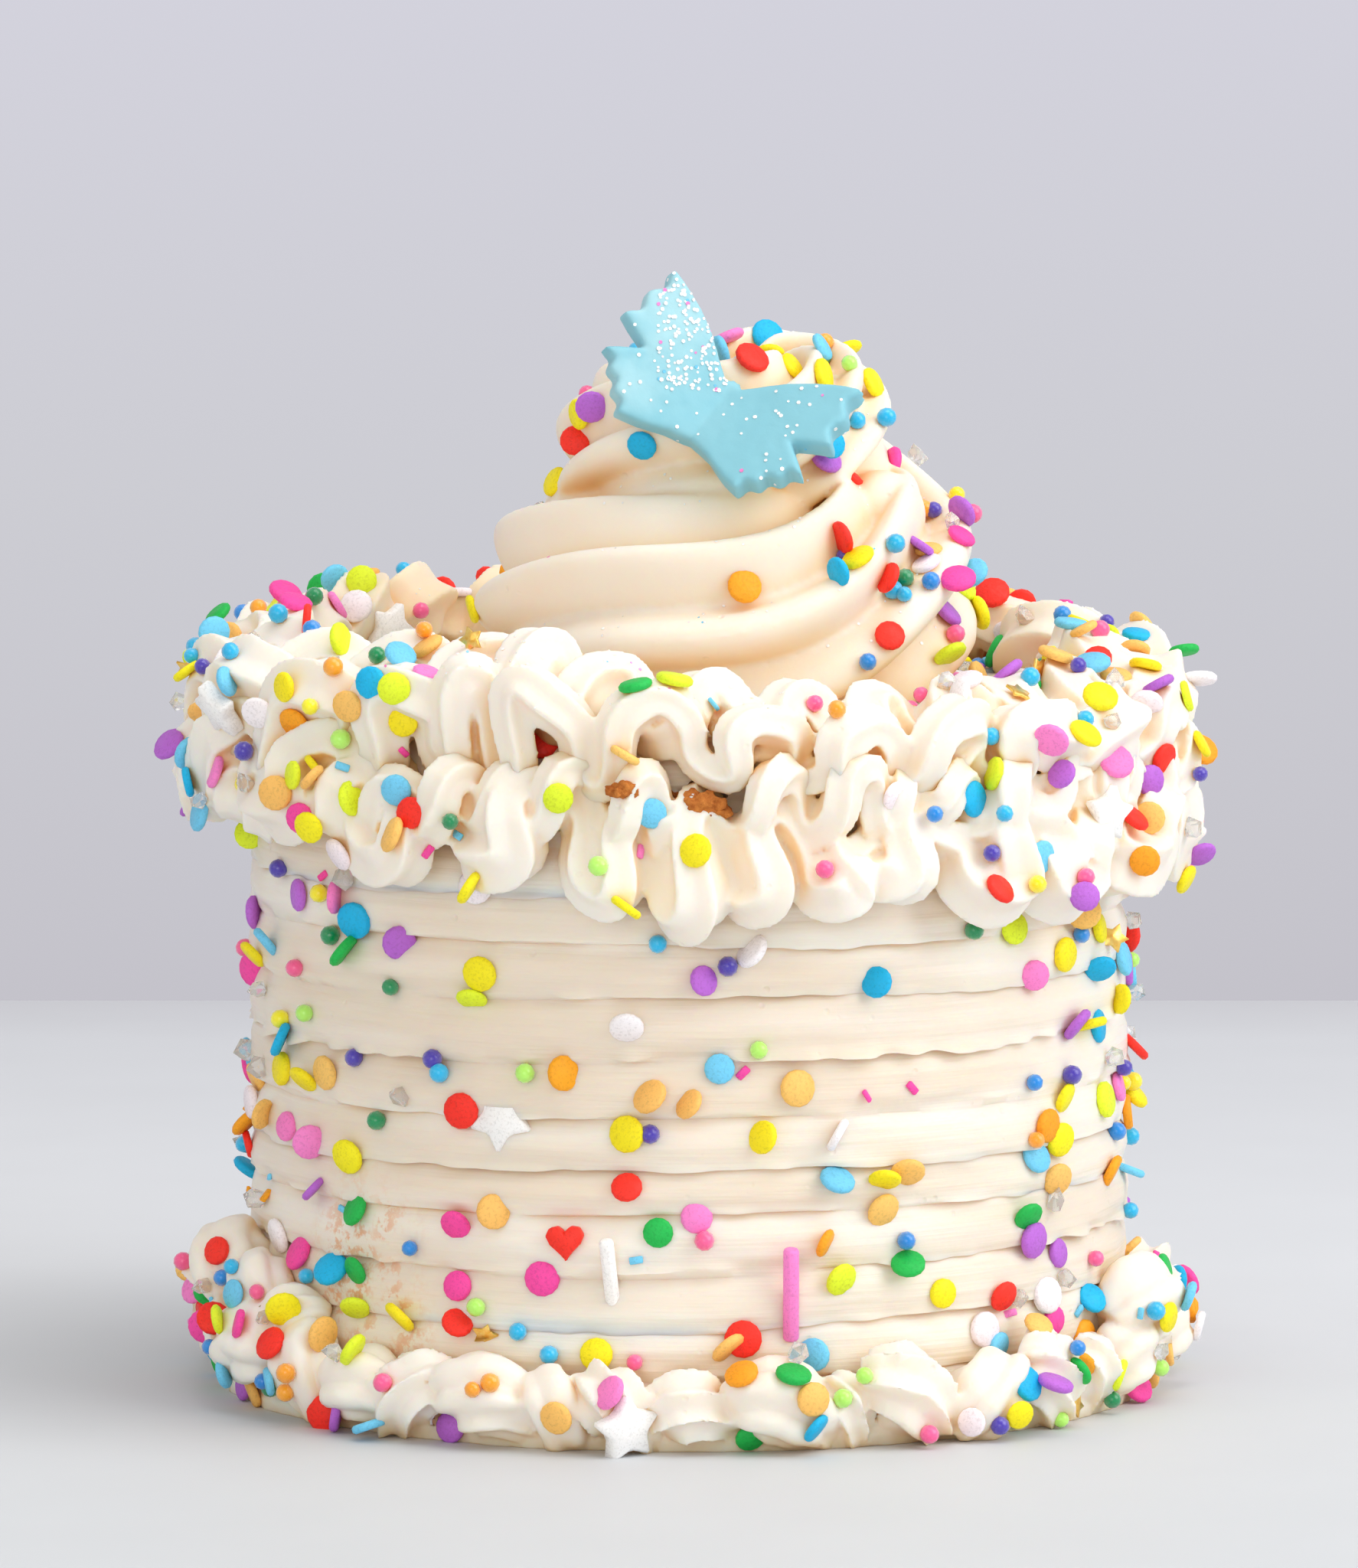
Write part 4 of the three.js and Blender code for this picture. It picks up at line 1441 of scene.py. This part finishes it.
class CAKE_OT_glitter(bpy.types.Operator):
    """Fine glitter on the butterfly and along the crests of the cream"""

    bl_idname = "cake.glitter"
    bl_label = "Glitter"

    def execute(self, context):
        rng = random.Random(77)
        landings = []
        graph = context.evaluated_depsgraph_get()
        for name, (left, right, low, high), count in DUSTED:
            tree = BVHTree.FromObject(bpy.data.objects[name], graph)
            for _ in range(count):
                target = AXIS + Vector((rng.uniform(left, right), 0, rng.uniform(low, high))) * MM
                spot, normal, _, _ = tree.ray_cast(EYE, (target - EYE).normalized())
                draws = [rng.random() for _ in range(4)]
                if spot is None or (name != "fondant_butterfly" and normal.z < 0.45):
                    continue
                tint = "ice" if draws[0] < 0.86 else rng.choice(("sky", "lilac", "pink"))
                size = 0.6 + 0.7 * draws[3] + 0.3 * (name == "fondant_butterfly")
                landings.append((spot, normal, tint, 14 * draws[1], draws[2], draws[0], size))
        deselect()
        bpy.ops.mesh.primitive_cylinder_add(vertices=6, radius=0.19 * MM, depth=0.06 * MM)
        glitter = laid(bpy.context.object, 0.1 * MM, "glitter_flakes", landings)
        finish_piece(glitter, glitter_material(), "fondant")
        return {"FINISHED"}


# ---------------------------------------------------------------- stage

# The table's near and far edges, the wall, and how wide both are.
NEAR_EDGE = -3.2
FAR_EDGE = 0.385
WALL = 2.7
WIDE = 6.4
# The table's colour by metres behind the cake's middle, with painted light a little behind the
# middle where the cake's shadow falls and painted shade towards the far edge, and the wall's by
# metres above a level that lies under the table, as a ramp can't start below nothing.
TABLE_TONES_AND_LIGHT = (
    (0.0, (0.635, 0.665, 0.7)), (0.1, (0.7, 0.725, 0.762)),
    (FAR_EDGE - 0.05, (0.64, 0.66, 0.703)), (FAR_EDGE, (0.575, 0.585, 0.628)),
)
WALL_LIFT = 0.5
# The wall shines by itself with these colours: painted light, darker low down as painted shade.
WALL_PAINTED_LIGHT = ((0.2, (0.53, 0.52, 0.57)), (0.38, (0.585, 0.585, 0.63)), (0.56, (0.63, 0.625, 0.70)))
# How many degrees the camera looks down.
LOOKING_DOWN = 6.32
# Each light's name, place, size, power and tint.
LIGHTS = (
    ("key", (1.35, -0.6, 1.0), 1.5, 17.5, (1, 0.99, 0.98)),
    ("top", (0.25, -0.2, 1.4), 1.0, 6.5, (1, 0.98, 0.95)),
    ("fill", (-1.1, -0.9, 0.6), 0.9, 1.8, (1, 0.84, 0.62)),
    ("front", (-0.2, -1.6, 0.3), 1.0, 5.5, (1, 0.97, 0.93)),
)


class CAKE_OT_stage(bpy.types.Operator):
    """A pale table with a self-lit wall well behind it, soft lights and the camera"""

    bl_idname = "cake.stage"
    bl_label = "Stage"

    def execute(self, context):
        self.table()
        self.wall()
        self.lights()
        self.camera()
        context.scene.view_settings.view_transform = "Standard"
        return {"FINISHED"}

    def table(self):
        """A pale table top with painted light a little behind the cake's middle, where the cake's
        shadow falls, and painted shade that darkens it a little towards its far edge.
        """
        deselect()
        bpy.ops.mesh.primitive_plane_add(size=1)
        table = bpy.context.object
        table.scale = (WIDE, FAR_EDGE - NEAR_EDGE, 1)
        table.location = (0, (FAR_EDGE + NEAR_EDGE) / 2, 0)
        settle(table, "table")
        nodes = Nodes("table_paint")
        # Painted light and shade along the table's depth.
        tone_and_light = nodes.ramp(nodes.axis("Y"), *TABLE_TONES_AND_LIGHT)
        grain = nodes.ramp(nodes.noise(30, 2), (0.3, 0.98), (0.7, 1))
        nodes.set(Base_Color=nodes.times(tone_and_light, grain), Roughness=0.6)
        table.data.materials.append(nodes.material)

    def wall(self):
        """A wall far enough behind that a camera can stand between it and the cake. It shines by
        itself instead of being lit, with painted shade low down.
        """
        deselect()
        bpy.ops.mesh.primitive_plane_add(size=1, rotation=(math.pi / 2, 0, 0))
        wall = bpy.context.object
        wall.scale = (WIDE, 4, 1)
        wall.location = (0, WALL, 0.4)
        settle(wall, "wall")
        nodes = Nodes("wall_painted_light")
        height = nodes.maths("ShaderNodeMath", "ADD", nodes.axis("Z"), WALL_LIFT)
        # Painted light: the wall shines by itself, darker low down.
        nodes.set(
            Base_Color=(0.02, 0.02, 0.02),
            Roughness=1.0,
            Emission_Color=nodes.ramp(height, *WALL_PAINTED_LIGHT),
            Emission_Strength=1.0,
        )
        wall.data.materials.append(nodes.material)

    def lights(self):
        world = bpy.data.worlds.new("studio")
        bpy.context.scene.world = world
        world.use_nodes = True
        sky = world.node_tree.nodes["Background"]
        sky.inputs["Color"].default_value = (1, 0.985, 0.965, 1)
        sky.inputs["Strength"].default_value = 0.57
        for name, place, size, power, tint in LIGHTS:
            light = bpy.data.lights.new(name, "AREA")
            light.shape = "DISK"
            light.size = size
            light.energy = power
            light.color = tint
            obj = add_object(name, light)
            obj.location = place
            aim = Vector((0, 0, 0.07)) - Vector(place)
            obj.rotation_euler = aim.to_track_quat("-Z", "Y").to_euler()

    def camera(self):
        camera = bpy.data.cameras.new("camera")
        camera.sensor_width = 36
        camera.lens = 284.8
        camera.clip_start, camera.clip_end = 0.05, 20
        obj = add_object("camera", camera)
        obj.location = EYE
        obj.rotation_euler = (math.radians(90 - LOOKING_DOWN), 0, 0)
        bpy.context.scene.camera = obj


# ---------------------------------------------------------------- add-on

OPERATORS = (
    CAKE_OT_sponge,
    CAKE_OT_icing_coat,
    CAKE_OT_lower_ruffle,
    CAKE_OT_upper_ruffle,
    CAKE_OT_shell_border,
    CAKE_OT_swirl,
    CAKE_OT_butterfly,
    CAKE_OT_discs,
    CAKE_OT_pearls,
    CAKE_OT_rods,
    CAKE_OT_stars,
    CAKE_OT_trimmings,
    CAKE_OT_crumbs,
    CAKE_OT_glitter,
    CAKE_OT_stage,
)


class CAKE_PT_panel(bpy.types.Panel):
    """The cake's sizes, colours and operators"""

    bl_idname = "CAKE_PT_panel"
    bl_label = "Cake"
    bl_space_type = "VIEW_3D"
    bl_region_type = "UI"
    bl_category = "Cake"

    def draw(self, context):
        layout = self.layout
        for group in (context.scene.cake_sizes, context.scene.cake_colours):
            for name in group.__annotations__:
                layout.prop(group, name)
        for operator in OPERATORS:
            layout.operator(operator.bl_idname)


CLASSES = (CakeColours, CakeSizes, *OPERATORS, CAKE_PT_panel)


def register():
    for cls in CLASSES:
        bpy.utils.register_class(cls)
    bpy.types.Scene.cake_colours = bpy.props.PointerProperty(type=CakeColours)
    bpy.types.Scene.cake_sizes = bpy.props.PointerProperty(type=CakeSizes)


def unregister():
    del bpy.types.Scene.cake_sizes
    del bpy.types.Scene.cake_colours
    for cls in reversed(CLASSES):
        bpy.utils.unregister_class(cls)


def main():
    register()
    bpy.ops.cake.sponge()
    bpy.ops.cake.icing_coat()
    bpy.ops.cake.lower_ruffle()
    bpy.ops.cake.upper_ruffle()
    bpy.ops.cake.shell_border()
    bpy.ops.cake.swirl()
    bpy.ops.cake.butterfly()
    bpy.ops.cake.discs()
    bpy.ops.cake.pearls()
    bpy.ops.cake.rods()
    bpy.ops.cake.stars()
    bpy.ops.cake.trimmings()
    bpy.ops.cake.crumbs()
    bpy.ops.cake.glitter()
    bpy.ops.cake.stage()


if __name__ == "__main__":
    main()
